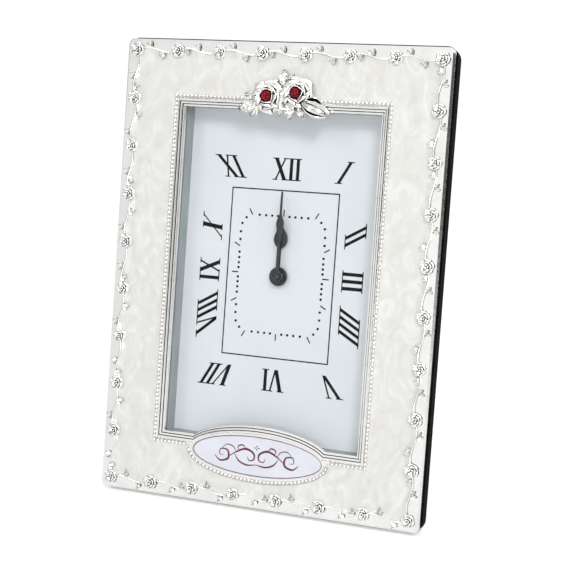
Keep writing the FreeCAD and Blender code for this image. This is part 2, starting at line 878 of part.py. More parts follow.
def gear_points(teeth, module, phase_degrees):
    """Return the outline of an involute gear, with a tooth centred on the phase bearing."""
    pitch_radius = module * teeth / 2
    base_radius = pitch_radius * math.cos(math.radians(pressure_angle_degrees))
    tip_radius = pitch_radius + addendum_share * module
    root_radius = pitch_radius - dedendum_share * module
    half_at_pitch = math.pi * tooth_width_share / teeth

    def roll(radius):
        ratio = min(1.0, base_radius / radius)
        angle = math.acos(ratio)
        return math.tan(angle) - angle

    flank_radii = [root_radius, max(root_radius, base_radius), pitch_radius, tip_radius]
    flank = []
    for radius in flank_radii:
        flank.append((radius, half_at_pitch + roll(pitch_radius) - roll(radius)))
    points = []
    for index in range(teeth):
        middle = math.radians(phase_degrees) + 2 * math.pi * index / teeth
        for radius, half in flank:
            points.append((radius, middle - half))
        for radius, half in reversed(flank):
            points.append((radius, middle + half))
    return points


def gear(teeth, module, phase_degrees, low, high, place, hole_radius=0.0):
    """Return a spur gear between two levels, bored if a hole is given."""
    corners = []
    for radius, angle in gear_points(teeth, module, phase_degrees):
        corners.append(Vector(place[0] + radius * math.cos(angle), place[1] + radius * math.sin(angle), 0))
    solid = prism(Part.makePolygon(corners + [corners[0]]).Edges, low, high)
    if hole_radius > 0:
        solid = solid.cut(cylinder(hole_radius, low - cut_overrun, high + cut_overrun, place))
    return solid


def meshed_phase(driver_phase, driver_teeth, teeth, bearing):
    """Return the phase that puts a gap of this gear over a tooth of its driver."""
    return bearing + 180 - (driver_phase - bearing) * driver_teeth / teeth + 180 / teeth


cannon_phase = 0.0
minute_wheel_phase = meshed_phase(cannon_phase, cannon_teeth, minute_wheel_teeth, minute_wheel_bearing)
hour_phase = meshed_phase(minute_wheel_phase, minute_pinion_teeth, hour_wheel_teeth,
                          minute_wheel_bearing + 180)
set_phase = meshed_phase(minute_wheel_phase, minute_wheel_teeth, set_wheel_teeth, set_wheel_bearing)
centre_phase = 0.0
reduction_phase = meshed_phase(centre_phase, centre_wheel_teeth, train_pinion_teeth, reduction_bearing)
rotor_phase = meshed_phase(reduction_phase, reduction_wheel_teeth, train_pinion_teeth, rotor_bearing)


# Hands and the motion work

def hand_blade(outline, boss_radius, hole_radius, back):
    """A flat hand: half outline points mirrored about the hub's upright, with a raised boss."""
    right = [Vector(hub[0] + half, hub[1] + reach, 0) for half, reach in outline]
    left = [Vector(hub[0] - half, hub[1] + reach, 0) for half, reach in reversed(outline)]
    corners = right + left
    blade = prism(Part.makePolygon(corners + [corners[0]]).Edges, back, back + hand_thickness)
    boss = cylinder(boss_radius, back, back + boss_thickness, hub)
    hole = cylinder(hole_radius, back - cut_overrun, back + boss_thickness + cut_overrun, hub)
    return blade.fuse(boss).removeSplitter().cut(hole)


shoulder_share = 0.72


def hour_hand():
    """The hour hand: a slim stem that carries a spade, pointing at twelve."""
    rise = (hour_spade_base + hour_spade_widest) / 2 - hour_stem_half_width
    fall = (hour_spade_widest + hour_neck_place) / 2
    outline = [(hour_stem_half_width, 0), (hour_stem_half_width, hour_spade_base),
               (shoulder_share * hour_spade_half_width, rise),
               (hour_spade_half_width, hour_spade_widest),
               (shoulder_share * hour_spade_half_width, fall),
               (hour_neck_half_width, hour_neck_place), (minute_tip_half_width, hour_hand_length)]
    return hand_blade(outline, hour_boss_radius, hour_pipe_radius + hand_fit, hour_hand_back)


def minute_hand():
    """The minute hand: a slim stem, a narrow leaf and a needle, pointing at twelve."""
    rise = (minute_leaf_base + minute_leaf_widest) / 2
    outline = [(minute_stem_half_width, 0), (minute_stem_half_width, minute_leaf_base),
               (shoulder_share * minute_leaf_half_width, rise),
               (minute_leaf_half_width, minute_leaf_widest),
               (minute_needle_half_width, minute_needle_base), (minute_tip_half_width, minute_hand_length)]
    return hand_blade(outline, minute_boss_radius, minute_pipe_radius + hand_fit, minute_hand_back)


def hand_cap():
    """The small cap nut over the end of the minute pipe."""
    seat = minute_hand_back + boss_thickness
    top = seat + cap_rise
    cap = cylinder(cap_radius, seat, top, hub)
    cap = cap.makeChamfer(cap_bevel, level_edges(cap, top))
    return cap.cut(cylinder(cap_hole_radius, top - cap_hole_depth, top + cut_overrun, hub))


def hour_wheel():
    """The hour wheel with its long pipe, which turns inside the hub tube."""
    wheel = gear(hour_wheel_teeth, hour_module, hour_phase, hour_wheel_bottom, hour_wheel_top, hub)
    pipe = cylinder(hour_pipe_radius, hour_wheel_bottom, hour_hand_back + boss_thickness, hub)
    bore = cylinder(minute_pipe_radius + sleeve_clearance, hour_wheel_bottom - cut_overrun,
                    hour_hand_back + boss_thickness + cut_overrun, hub)
    return wheel.fuse(pipe).removeSplitter().cut(bore)


def minute_pipe():
    """The minute pipe with its cannon pinion, and the pivot that runs in the case."""
    pinion = gear(cannon_teeth, motion_module, cannon_phase, minute_wheel_bottom - pinion_extra,
                  minute_wheel_top, hub)
    pipe = cylinder(minute_pipe_radius, minute_wheel_bottom, minute_hand_back + boss_thickness, hub)
    journal = cylinder(minute_pipe_radius, centre_wheel_bottom, minute_wheel_bottom, hub)
    pivot = cylinder(pivot_radius, centre_wheel_bottom - pivot_seat_depth(), centre_wheel_bottom, hub)
    return fuse_all([pinion, pipe, journal, pivot])


def pivot_seat_depth():
    """Return how far a lower pivot reaches into its boss."""
    return 2 * pivot_radius + end_play


def centre_wheel():
    """The centre wheel, carried friction-tight on the minute pipe."""
    return gear(centre_wheel_teeth, centre_module, centre_phase, centre_wheel_bottom, centre_wheel_top, hub,
                minute_pipe_radius + hand_fit)


def minute_wheel():
    """The motion work's minute wheel and pinion, which turn on a stud."""
    wheel = gear(minute_wheel_teeth, motion_module, minute_wheel_phase, minute_wheel_bottom, minute_wheel_top,
                 minute_wheel_place)
    pinion = gear(minute_pinion_teeth, hour_module, minute_wheel_phase, minute_wheel_top,
                  hour_wheel_top, minute_wheel_place)
    bore = cylinder(arbor_radius + bearing_clearance, minute_wheel_bottom - cut_overrun,
                    hour_wheel_top + cut_overrun, minute_wheel_place)
    return wheel.fuse(pinion).removeSplitter().cut(bore)


def reduction_wheel():
    """The reduction wheel: a large wheel driven by the rotor, and a pinion that drives the centre wheel."""
    wheel = gear(reduction_wheel_teeth, rotor_module, reduction_phase, reduction_wheel_bottom,
                 reduction_wheel_top, reduction_place)
    pinion = gear(train_pinion_teeth, centre_module, reduction_phase, reduction_wheel_top,
                  centre_wheel_top, reduction_place)
    upper = cylinder(pivot_radius, centre_wheel_top, upper_pivot_end, reduction_place)
    lower = cylinder(pivot_radius, reduction_wheel_bottom - pivot_seat_depth(), reduction_wheel_bottom,
                     reduction_place)
    return fuse_all([wheel, pinion, upper, lower])


def motor_rotor():
    """The rotor's pinion and arbor, on the magnet."""
    pinion = gear(train_pinion_teeth, rotor_module, rotor_phase, rotor_pinion_bottom, reduction_wheel_top,
                  rotor_place)
    upper = cylinder(pivot_radius, reduction_wheel_top, upper_pivot_end, rotor_place)
    lower = cylinder(pivot_radius, magnet_bottom - pivot_seat_depth(), rotor_pinion_bottom, rotor_place)
    return fuse_all([pinion, upper, lower])


def rotor_magnet():
    """The ring magnet on the rotor's arbor."""
    ring = cylinder(magnet_radius, magnet_bottom, magnet_top, rotor_place)
    return ring.cut(cylinder(pivot_radius + hand_fit, magnet_bottom - cut_overrun, magnet_top + cut_overrun,
                             rotor_place))


def set_wheel():
    """The setting wheel and its shaft, which comes out through the back of the case."""
    wheel = gear(set_wheel_teeth, motion_module, set_phase, minute_wheel_bottom, minute_wheel_top, set_place)
    shaft = cylinder(set_shaft_radius, case_back - knob_gap - knob_thickness, minute_wheel_bottom, set_place)
    upper = cylinder(pivot_radius, minute_wheel_top, set_pivot_end, set_place)
    return fuse_all([wheel, shaft, upper])


def set_knob():
    """The gripped knob that sets the hands."""
    bottom = case_back - knob_gap - knob_thickness
    knob = cylinder(knob_radius, bottom, bottom + knob_thickness, set_place)
    knob = knob.makeChamfer(knob_grip_radius, level_edges(knob, bottom))
    grips = []
    for index in range(knob_grip_count):
        spot = polar(set_place, knob_radius, 360 * index / knob_grip_count)
        grips.append(cylinder(knob_grip_radius, bottom - cut_overrun,
                              bottom + knob_thickness + cut_overrun, spot))
    knob = knob.cut(Part.makeCompound(grips))
    return knob.cut(cylinder(set_shaft_radius + hand_fit, bottom - cut_overrun,
                             bottom + knob_thickness + cut_overrun, set_place))


# Movement case and what stands still inside it

def movement_pad():
    """The adhesive pad that holds the movement to the back of the dial."""
    pad = box(pad_share * case_size, pad_share * case_size, lid_front, dial_back, hub)
    return pad.cut(cylinder(pad_hole_radius, lid_front - cut_overrun, dial_back + cut_overrun, hub))


def movement_lid():
    """The front plate of the movement, with the hub tube that passes through the dial."""
    lid = rounded_slab(case_size, case_size, case_corner_radius, lid_back, lid_front, hub)
    lid = lid.fuse(cylinder(hub_tube_radius, lid_front, dial_front + hub_tube_rise, hub))
    lid = lid.cut(cylinder(hour_pipe_radius + sleeve_clearance, lid_back - cut_overrun,
                           dial_front + hub_tube_rise + cut_overrun, hub))
    return lid.cut(cylinder(pivot_radius + bearing_clearance, lid_back - cut_overrun,
                            set_pivot_end + end_play, set_place))


def train_places():
    """Return each lower pivot with the level of the piece above it."""
    return ((hub, centre_wheel_bottom), (reduction_place, reduction_wheel_bottom),
            (rotor_place, magnet_bottom))


def post_places():
    """Return the four corner posts that carry the middle plate."""
    reach = case_size / 2 - case_wall - post_radius
    low = battery_wall_top + post_radius
    high = hub[1] + reach
    return [(-reach, low), (reach, low), (-reach, high), (reach, high)]


def movement_case():
    """The open box of the movement, with the battery's bay, corner posts and bearing bosses."""
    shell = rounded_slab(case_size, case_size, case_corner_radius, case_back, lid_back, hub)
    inside = case_size - 2 * case_wall
    shell = shell.cut(box(inside, inside, case_floor, lid_back + cut_overrun, hub))
    bay_height = 2 * (battery_radius + battery_clearance)
    shell = shell.cut(box(inside, bay_height, case_back - cut_overrun, case_floor + cut_overrun,
                          (hub[0], battery_v)))
    solids = [shell]
    wall_place = (hub[0], battery_wall_top - battery_wall / 2)
    solids.append(box(inside, battery_wall, case_floor, lid_back, wall_place))
    for place in post_places():
        solids.append(cylinder(post_radius, case_floor, middle_plate_bottom, place))
    for place, level in train_places():
        solids.append(cylinder(bearing_boss_radius, case_floor, level - end_play, place))
    solids.append(cylinder(set_shaft_radius + case_wall, case_floor, middle_plate_bottom - level_gap,
                           set_place))
    case = fuse_all(solids)
    for place, level in train_places():
        case = case.cut(cylinder(pivot_radius + bearing_clearance, level - pivot_seat_depth() - end_play,
                                 level + cut_overrun, place))
    return case.cut(cylinder(set_shaft_radius + bearing_clearance, case_back - cut_overrun,
                             lid_back + cut_overrun, set_place))


def middle_plate():
    """The plate between the motion work and the train, with the minute wheel's stud."""
    inside = case_size - 2 * case_wall - 2 * fitting_clearance
    top = hub[1] + inside / 2
    bottom = battery_wall_top + fitting_clearance
    plate = box(inside, top - bottom, middle_plate_bottom, middle_plate_top, (hub[0], (top + bottom) / 2))
    stud = cylinder(arbor_radius, middle_plate_top, hour_wheel_top, minute_wheel_place)
    plate = plate.fuse(stud).removeSplitter()
    plate = plate.cut(cylinder(minute_pipe_radius + bearing_clearance, middle_plate_bottom - cut_overrun,
                               middle_plate_top + cut_overrun, hub))
    for place in (reduction_place, rotor_place):
        plate = plate.cut(cylinder(pivot_radius + bearing_clearance, middle_plate_bottom - cut_overrun,
                                   middle_plate_top + cut_overrun, place))
    return plate.cut(cylinder(set_shaft_radius + bearing_clearance, middle_plate_bottom - cut_overrun,
                              middle_plate_top + cut_overrun, set_place))


def core_ends():
    """Return the two ends of the coil's core, over the stator's ends."""
    reach = stator_half_width - coil_core_width / 2
    return (rotor_place[0] - reach, rotor_place[0] + reach)


def motor_stator():
    """The flat iron stator: a pole bar with the rotor's hole, and an arm up to each end of the core."""
    top = coil_v + coil_core_width / 2
    bottom = rotor_place[1] - stator_pole_width / 2
    bar = box(2 * stator_half_width, stator_pole_width, stator_bottom, stator_top, rotor_place)
    solids = [bar]
    for end_x in core_ends():
        solids.append(box(coil_core_width, top - bottom, stator_bottom, stator_top,
                          (end_x, (top + bottom) / 2)))
    stator = fuse_all(solids)
    return stator.cut(cylinder(magnet_radius + stator_gap, stator_bottom - cut_overrun,
                               stator_top + cut_overrun, rotor_place))


def coil_core():
    """The iron core bar that passes through the coil, under the stator's arms."""
    return box(2 * stator_half_width, coil_core_width, core_bottom, stator_bottom, (rotor_place[0], coil_v))


def along_coil(radius, width, middle_x):
    """Return a cylinder on the coil's axis."""
    start = Vector(middle_x - width / 2, coil_v, (stator_bottom + core_bottom) / 2)
    return Part.makeCylinder(radius, width, start, Vector(1, 0, 0))


def coil_bobbin():
    """The bobbin: a square tube round the core with a round flange at each end."""
    middle = rotor_place[0]
    wall = coil_flange_thickness / 2
    tube = box(coil_length, coil_core_width + 2 * wall, core_bottom - wall, stator_bottom + wall,
               (middle, coil_v))
    solids = [tube]
    for side in (-1, 1):
        solids.append(along_coil(coil_flange_radius, coil_flange_thickness,
                                 middle + side * (coil_length - coil_flange_thickness) / 2))
    bobbin = fuse_all(solids)
    return bobbin.cut(box(coil_length + 2 * cut_overrun, coil_core_width, core_bottom, stator_bottom,
                          (middle, coil_v)))


def coil_winding():
    """The coil's winding, a plain sleeve between the flanges."""
    middle = rotor_place[0]
    wall = coil_flange_thickness / 2
    width = coil_length - 2 * coil_flange_thickness
    winding = along_coil(coil_radius, width, middle)
    tube = box(coil_length, coil_core_width + 2 * wall, core_bottom - wall, stator_bottom + wall,
               (middle, coil_v))
    return winding.cut(tube)


def board_place():
    """Return the middle of the circuit board, in the case's left half."""
    left = hub[0] - case_size / 2 + case_wall + fitting_clearance
    return (left + board_width / 2, battery_wall_top + 2 * post_radius + fitting_clearance + board_height / 2)


def circuit_board():
    """The circuit board, on the same level as the stator."""
    return box(board_width, board_height, stator_bottom, stator_bottom + board_thickness, board_place())


def circuit_chip():
    """The sealed blob over the circuit's chip."""
    base = stator_bottom + board_thickness
    blob = cylinder(chip_radius, base, base + chip_rise, board_place())
    return blob.makeFillet(chip_rise / 2, level_edges(blob, base + chip_rise))


def quartz_crystal():
    """The tuning crystal's can, lying on the board above the chip."""
    place = board_place()
    base = stator_bottom + board_thickness
    start = Vector(place[0] - crystal_can_length / 2,
                   place[1] + board_height / 2 - 2 * crystal_can_radius, base + crystal_can_radius)
    return Part.makeCylinder(crystal_can_radius, crystal_can_length, start, Vector(1, 0, 0))


def board_posts():
    """Return the two posts under the board, as part of the case."""
    place = board_place()
    reach = board_width / 2 - post_radius
    return [cylinder(post_radius, case_floor, stator_bottom, (place[0] + side * reach, place[1]))
            for side in (-1, 1)]


def stator_posts():
    """Return the two posts under the core's ends, as part of the case."""
    return [cylinder(coil_core_width / 2, case_floor, core_bottom, (end_x, coil_v)) for end_x in core_ends()]


def battery_ends():
    """Return the x of the battery's flat end and of its nub's end."""
    right = hub[0] + case_size / 2 - case_wall - contact_thickness
    return right - battery_nub_length - battery_length, right


def dry_cell():
    """The round cell in the bay, with its positive nub to the right."""
    flat_end, nub_end = battery_ends()
    can = Part.makeCylinder(battery_radius, battery_length, Vector(flat_end, battery_v, battery_w),
                            Vector(1, 0, 0))
    nub = Part.makeCylinder(battery_nub_radius, battery_nub_length,
                            Vector(nub_end - battery_nub_length, battery_v, battery_w), Vector(1, 0, 0))
    return can.fuse(nub).removeSplitter()


def positive_contact():
    """The flat contact at the nub's end of the bay."""
    right = hub[0] + case_size / 2 - case_wall
    return box(contact_thickness, contact_width, case_floor, lid_back - fitting_clearance,
               (right - contact_thickness / 2, battery_v))


def negative_contact():
    """The bowed spring contact at the flat end of the bay."""
    left = hub[0] - case_size / 2 + case_wall
    flat_end, _ = battery_ends()
    half = contact_width / 2
    reach = flat_end - left
    outline = [(0, case_floor), (contact_thickness, case_floor),
               (reach, battery_w - contact_thickness), (reach, battery_w + contact_thickness),
               (contact_thickness, lid_back - fitting_clearance), (0, lid_back - fitting_clearance),
               (reach - contact_thickness, battery_w)]
    points = [Vector(left + x, battery_v - half, z) for x, z in outline]
    face = Part.Face(Part.makePolygon(points + [points[0]]))
    return face.extrude(Vector(0, contact_width, 0))


def cased_posts():
    """The movement case with the posts of the board and the stator joined to it."""
    return fuse_all([movement_case()] + board_posts() + stator_posts())


# Assembly

def all_pieces():
    """Return every piece by name, lying on its back."""
    pieces = {
        "front_frame": front_frame(),
        "enamel_panel": enamel_panel(),
        "oval_plaque": oval_plaque(),
        "rose_spray": rose_spray(),
        "spray_crystals": spray_crystals(),
        "window_glass": window_glass(),
        "spacer_walls": spacer_walls(),
        "dial_plate": dial_plate(),
        "backing_frame": backing_frame(),
        "back_panel": back_panel(),
        "button_screws": button_screws(),
        "hinge_strap": hinge_strap(),
        "strap_rivets": strap_rivets(),
        "hinge_pin": hinge_pin(),
        "easel_strut": easel_strut(),
        "strut_leaf": strut_leaf(),
        "leaf_rivets": leaf_rivets(),
        "movement_pad": movement_pad(),
        "movement_lid": movement_lid(),
        "movement_case": cased_posts(),
        "middle_plate": middle_plate(),
        "hour_hand": hour_hand(),
        "minute_hand": minute_hand(),
        "hand_cap": hand_cap(),
        "hour_wheel": hour_wheel(),
        "minute_pipe": minute_pipe(),
        "centre_wheel": centre_wheel(),
        "minute_wheel": minute_wheel(),
        "reduction_wheel": reduction_wheel(),
        "motor_rotor": motor_rotor(),
        "rotor_magnet": rotor_magnet(),
        "set_wheel": set_wheel(),
        "set_knob": set_knob(),
        "motor_stator": motor_stator(),
        "coil_core": coil_core(),
        "coil_bobbin": coil_bobbin(),
        "coil_winding": coil_winding(),
        "circuit_board": circuit_board(),
        "circuit_chip": circuit_chip(),
        "quartz_crystal": quartz_crystal(),
        "dry_cell": dry_cell(),
        "positive_contact": positive_contact(),
        "negative_contact": negative_contact(),
    }
    for index, place in enumerate(button_places()):
        pieces["turn_button_" + str(index + 1)] = turn_button(place)
    return pieces


def leaned(solid):
    """Stand a lying piece up and lean it back."""
    turned = solid.copy()
    turned.rotate(Vector(0, 0, 0), Vector(1, 0, 0), 90 - lean_degrees)
    return turned


def leaned_point(x, v, w):
    """Return where a point of the lying clock goes when it leans."""
    angle = math.radians(90 - lean_degrees)
    return Vector(x, v * math.cos(angle) - w * math.sin(angle), v * math.sin(angle) + w * math.cos(angle))


def table_height():
    """Return the table's height under the leaned clock: the backing's lower rear edge rests on it."""
    return leaned_point(0, -backing_height / 2, panel_back + backing_bevel).z


def standing_pieces():
    """Return every piece in place on the table, and the shift that put the origin under the middle."""
    placed = {}
    for name, solid in all_pieces().items():
        placed[name] = leaned(solid)
    below = table_height()
    size = 2 * frame_height
    under_table = Part.makeBox(size, size, size, Vector(-size / 2, -size / 2, below - size))
    placed["easel_strut"] = placed["easel_strut"].cut(under_table)
    front = min(solid.optimalBoundingBox().YMin for solid in placed.values())
    rear = max(solid.optimalBoundingBox().YMax for solid in placed.values())
    shift = Vector(0, -(front + rear) / 2, -below)
    for solid in placed.values():
        solid.translate(shift)
    return placed, shift


pieces, origin_shift = standing_pieces()
os.makedirs("parts", exist_ok=True)
for name, solid in pieces.items():
    solid.exportStep("parts/" + name + ".step")
print("pieces", len(pieces))
print("origin shift", tuple(round(value, 4) for value in origin_shift))
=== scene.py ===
from math import atan2, cos, hypot, pi, radians, sin, tau
import bpy
import bmesh
from mathutils import Matrix, Vector, noise


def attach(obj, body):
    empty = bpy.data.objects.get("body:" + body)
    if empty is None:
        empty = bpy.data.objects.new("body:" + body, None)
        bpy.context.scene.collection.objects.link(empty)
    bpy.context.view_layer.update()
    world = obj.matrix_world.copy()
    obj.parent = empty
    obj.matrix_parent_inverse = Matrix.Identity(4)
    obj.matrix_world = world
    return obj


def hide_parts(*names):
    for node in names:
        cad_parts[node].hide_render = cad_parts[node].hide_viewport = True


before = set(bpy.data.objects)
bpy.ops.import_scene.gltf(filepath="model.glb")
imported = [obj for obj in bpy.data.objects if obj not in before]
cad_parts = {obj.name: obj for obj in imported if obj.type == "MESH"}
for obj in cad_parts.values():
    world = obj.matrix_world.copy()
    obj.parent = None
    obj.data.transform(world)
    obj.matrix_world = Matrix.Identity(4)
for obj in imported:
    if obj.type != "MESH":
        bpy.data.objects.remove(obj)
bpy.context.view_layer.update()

# The clock leans back on its strut. Its face is worked lying flat, in millimetres: u to the right,
# v up the frame and w out of the front, with zero at the middle of the silver rim's front.
lean = radians(10.5)
face_middle = Vector((0.0, -0.0075998, 0.1073328))
millimetre = 0.001
lying_to_standing = (
    Matrix.Translation(face_middle) @ Matrix.Rotation(pi / 2 - lean, 4, "X") @ Matrix.Scale(millimetre, 4)
)

# The camera stands to the right of the clock and a little above it, 0.68 m away with a long lens. Its
# picture is shifted a little, so that the clock stands where the photograph has it.
camera_turn = radians(22.68)
camera_rise = radians(13.35)
camera_distance = 0.684268
camera_aside = 0.00723
camera_drop = 0.00749
back = Vector((sin(camera_turn) * cos(camera_rise), -cos(camera_turn) * cos(camera_rise), sin(camera_rise)))
right = Vector((cos(camera_turn), sin(camera_turn), 0.0))
up = back.cross(right)
bpy.ops.object.camera_add()
camera = bpy.context.object
camera.name = "camera"
camera.matrix_world = Matrix.Translation(
    face_middle + back * camera_distance + right * camera_aside - up * camera_drop
) @ Matrix((right, up, back)).transposed().to_4x4()
camera.data.sensor_width = 36.0
camera.data.lens = 95.66
camera.data.shift_x = -0.0053
camera.data.shift_y = 0.02265
bpy.context.scene.camera = camera
bpy.context.scene.view_settings.view_transform = "Standard"

# A white tent of light with a soft box high on the right and two small ones, on a white table. The
# tent is white for the camera and the glass. The metal mirrors it greyer on the left, and a black flag
# far out on the right draws the dark lines along its edges.
for name, towards, distance, size, energy in (
    ("soft_box", Vector((0.456, -0.640, 0.620)), 2.20, 0.68, 14.1),
    ("camera_box", Vector((0.206, -0.969, 0.130)), 1.00, 0.24, 1.3),
    ("left_box", Vector((-0.375, -0.638, 0.672)), 1.80, 0.47, 3.24),
):
    bpy.ops.object.light_add(type="AREA", location=face_middle + towards.normalized() * distance)
    lamp = bpy.context.object
    lamp.name = name
    lamp.rotation_euler = towards.to_track_quat("Z", "Y").to_euler()
    lamp.data.shape = "DISK"
    lamp.data.size = size
    lamp.data.energy = energy


def wired(paint, kind, sockets, result=0, **settings):
    """The result of a new shader node, each of its sockets led by a level or by another node's result."""
    tree = paint.node_tree
    made = tree.nodes.new(kind)
    for setting, choice in settings.items():
        setattr(made, setting, choice)
    for socket, value in sockets.items():
        if isinstance(value, bpy.types.NodeSocket):
            tree.links.new(value, made.inputs[socket])
        else:
            made.inputs[socket].default_value = value
    return made.outputs[result]


def led_out(paint, kind, shader):
    """The finished shader led into the paint's output."""
    paint.node_tree.links.new(shader, paint.node_tree.nodes.new(kind).inputs["Surface"])


def ray_is(paint, kind):
    """1 where the ray is of this kind, and 0 elsewhere."""
    return wired(paint, "ShaderNodeLightPath", {}, f"Is {kind} Ray")


def larger(paint, first, second):
    """The larger of two levels."""
    return wired(paint, "ShaderNodeMath", {0: first, 1: second}, operation="MAXIMUM")


def times(paint, level, factor):
    """A level multiplied by a fixed factor."""
    return wired(paint, "ShaderNodeMath", {0: level, 1: factor}, operation="MULTIPLY")


def stops(paint, value, *colours):
    """A ramp of colours, each given as its position and its three parts."""
    ramp = paint.node_tree.nodes.new("ShaderNodeValToRGB")
    while len(ramp.color_ramp.elements) < len(colours):
        ramp.color_ramp.elements.new(1.0)
    for element, (position, colour) in zip(ramp.color_ramp.elements, colours):
        element.position = position
        element.color = (*colour, 1.0)
    paint.node_tree.links.new(value, ramp.inputs["Fac"])
    return ramp.outputs["Color"]


white = (1.0, 1.0, 1.0)
tent = bpy.context.scene.world or bpy.data.worlds.new("tent")
bpy.context.scene.world = tent
tent.use_nodes = True
tent.node_tree.nodes.clear()
tent_place = wired(tent, "ShaderNodeTexCoord", {}, "Generated")
tent_sideways = wired(tent, "ShaderNodeSeparateXYZ", {"Vector": tent_place}, "X")
tent_across = wired(tent, "ShaderNodeMapRange", {"Value": tent_sideways, "From Min": -1.0, "From Max": 1.0})
tent_shade = stops(
    tent, tent_across, (0.0, (0.36, 0.37, 0.38)), (0.36, white), (0.925, white), (0.960, (0.06, 0.06, 0.06))
)
tent_mirrored = wired(tent, "ShaderNodeBackground", {"Color": tent_shade})
tent_white = wired(tent, "ShaderNodeBackground", {"Color": (*white, 1.0)})
tent_glossy = ray_is(tent, "Glossy")
tent_seen = wired(tent, "ShaderNodeMixShader", {"Fac": tent_glossy, 1: tent_white, 2: tent_mirrored})
tent_light = wired(tent, "ShaderNodeBackground", {"Color": (0.955, 0.975, 1.0, 1.0), "Strength": 0.60})
tent_seeing = larger(tent, larger(tent, ray_is(tent, "Camera"), tent_glossy), ray_is(tent, "Transmission"))
tent_all = wired(tent, "ShaderNodeMixShader", {"Fac": tent_seeing, 1: tent_light, 2: tent_seen})
led_out(tent, "ShaderNodeOutputWorld", tent_all)

table_radius = 6.0
table_level = -0.0002
bpy.ops.mesh.primitive_circle_add(
    vertices=64, radius=table_radius, fill_type="NGON", location=(0, 0, table_level)
)
table_top = bpy.context.object
table_top.name = "table_top"
table_paint = bpy.data.materials.new("table_paint")
table_paint.use_nodes = True
table_paint.node_tree.nodes.clear()
paint_mirrored = larger(table_paint, ray_is(table_paint, "Glossy"), ray_is(table_paint, "Transmission"))
paint_seen = larger(table_paint, ray_is(table_paint, "Camera"), times(table_paint, paint_mirrored, 0.45))
paint_white = wired(table_paint, "ShaderNodeEmission", {"Strength": times(table_paint, paint_seen, 0.55)})
paint_matt = wired(table_paint, "ShaderNodeBsdfDiffuse", {"Color": (0.80, 0.80, 0.80, 1.0)})
paint_all = wired(table_paint, "ShaderNodeAddShader", {0: paint_matt, 1: paint_white})
led_out(table_paint, "ShaderNodeOutputMaterial", paint_all)
table_top.data.materials.append(table_paint)


# The front is one casting in soft white metal, plated with silver and polished: a flat rim, a vine
# with roses cast on it, a beaded edge and three stepped ridges round the window. The plating's colour
# stays bright on its high places and is darkened by ambient occlusion in every hollow.
def new_finish(name, colour, rough, metal=0.0, **own):
    """A material with its shader's own sockets set, those of two words written with a low line."""
    made = bpy.data.materials.new(name)
    made.use_nodes = True
    sockets = shader_of(made).inputs
    sockets["Base Color"].default_value = (*colour, 1.0)
    sockets["Roughness"].default_value = rough
    sockets["Metallic"].default_value = metal
    for socket, level in own.items():
        sockets[socket.replace("_", " ")].default_value = level
    return made


def shader_of(finish):
    """The finish's shader."""
    return finish.node_tree.nodes["Principled BSDF"]


def face_place(finish, drawn=None):
    """Places on the clock's face in millimetres, drawn out or pressed together along each direction."""
    place = wired(
        finish,
        "ShaderNodeMapping",
        {
            "Vector": wired(finish, "ShaderNodeTexCoord", {}, "Object"),
            "Location": face_middle,
            "Rotation": (pi / 2 - lean, 0.0, 0.0),
            "Scale": (millimetre, millimetre, millimetre),
        },
        vector_type="TEXTURE",
    )
    return wired(finish, "ShaderNodeMapping", {"Vector": place, "Scale": drawn}) if drawn else place


def mottle(finish, size, detail=3.0, warp=0.0, drawn=None):
    """Noise with patches of about this size in millimetres, from 0 to 1."""
    sockets = {"Vector": face_place(finish, drawn), "Scale": 1.0 / size, "Detail": detail, "Distortion": warp}
    return wired(finish, "ShaderNodeTexNoise", sockets)


def between(finish, value, low, high):
    """The value from 0 to 1 spread between two levels."""
    return wired(finish, "ShaderNodeMapRange", {"Value": value, "To Min": low, "To Max": high})


def drive(finish, socket, value):
    """A pattern led into one of the shader's sockets."""
    finish.node_tree.links.new(value, shader_of(finish).inputs[socket])


def relief(finish, height, depth):
    """Small ups and downs of this depth in millimetres."""
    bump = {"Height": height, "Distance": depth * millimetre}
    drive(finish, "Normal", wired(finish, "ShaderNodeBump", bump))


def patterned(finish, patches, colours, shine, rough, grain=None, depth=0.0):
    """Noise in the colour, the roughness and the relief, each given as its size, detail, warp and drawing."""
    drive(finish, "Base Color", stops(finish, mottle(finish, *patches), *colours))
    drive(finish, "Roughness", between(finish, mottle(finish, *shine), *rough))
    if grain:
        relief(finish, mottle(finish, *grain), depth)
    return finish


def plated_silver(name, reach, dark_until, pale_from, alone=True):
    """Silver plate, darkened by ambient occlusion, by how deep a place lies within reach, in the piece alone
    or among all.
    """
    made = new_finish(name, (0.86, 0.86, 0.845), 0.14, 1.0)
    clouds = stops(
        made,
        mottle(made, 9.0, 4.0, 0.6),
        (0.30, (0.87, 0.865, 0.845)),
        (0.50, (0.925, 0.92, 0.90)),
        (0.70, (0.955, 0.95, 0.925)),
    )
    near = {"Distance": reach * millimetre}
    hollows = wired(made, "ShaderNodeAmbientOcclusion", near, "AO", samples=6, only_local=alone)
    # Ambient occlusion darkens the plate's colour in every hollow, down to near black where it is deepest.
    hollow_darkening = stops(
        made,
        hollows,
        (0.0, (0.05, 0.05, 0.05)),
        (dark_until, (0.16, 0.16, 0.155)),
        (pale_from, (0.86, 0.85, 0.81)),
        (0.95, white),
    )
    plate = {"Factor": 1.0, 6: clouds, 7: hollow_darkening}
    drive(made, "Base Color", wired(made, "ShaderNodeMix", plate, 2, data_type="RGBA", blend_type="MULTIPLY"))
    drive(made, "Roughness", between(made, mottle(made, 2.2), 0.10, 0.24))
    relief(made, mottle(made, 3.2, 2.0), 0.035)
    return made


def dress(finish, *nodes):
    """The finish on every slot of these CAD nodes."""
    for node in nodes:
        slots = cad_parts[node].data.materials
        if not slots:
            slots.append(finish)
        for index in range(len(slots)):
            slots[index] = finish


silver = plated_silver("silver", 0.75, 0.20, 0.46)
dress(silver, "front_frame")


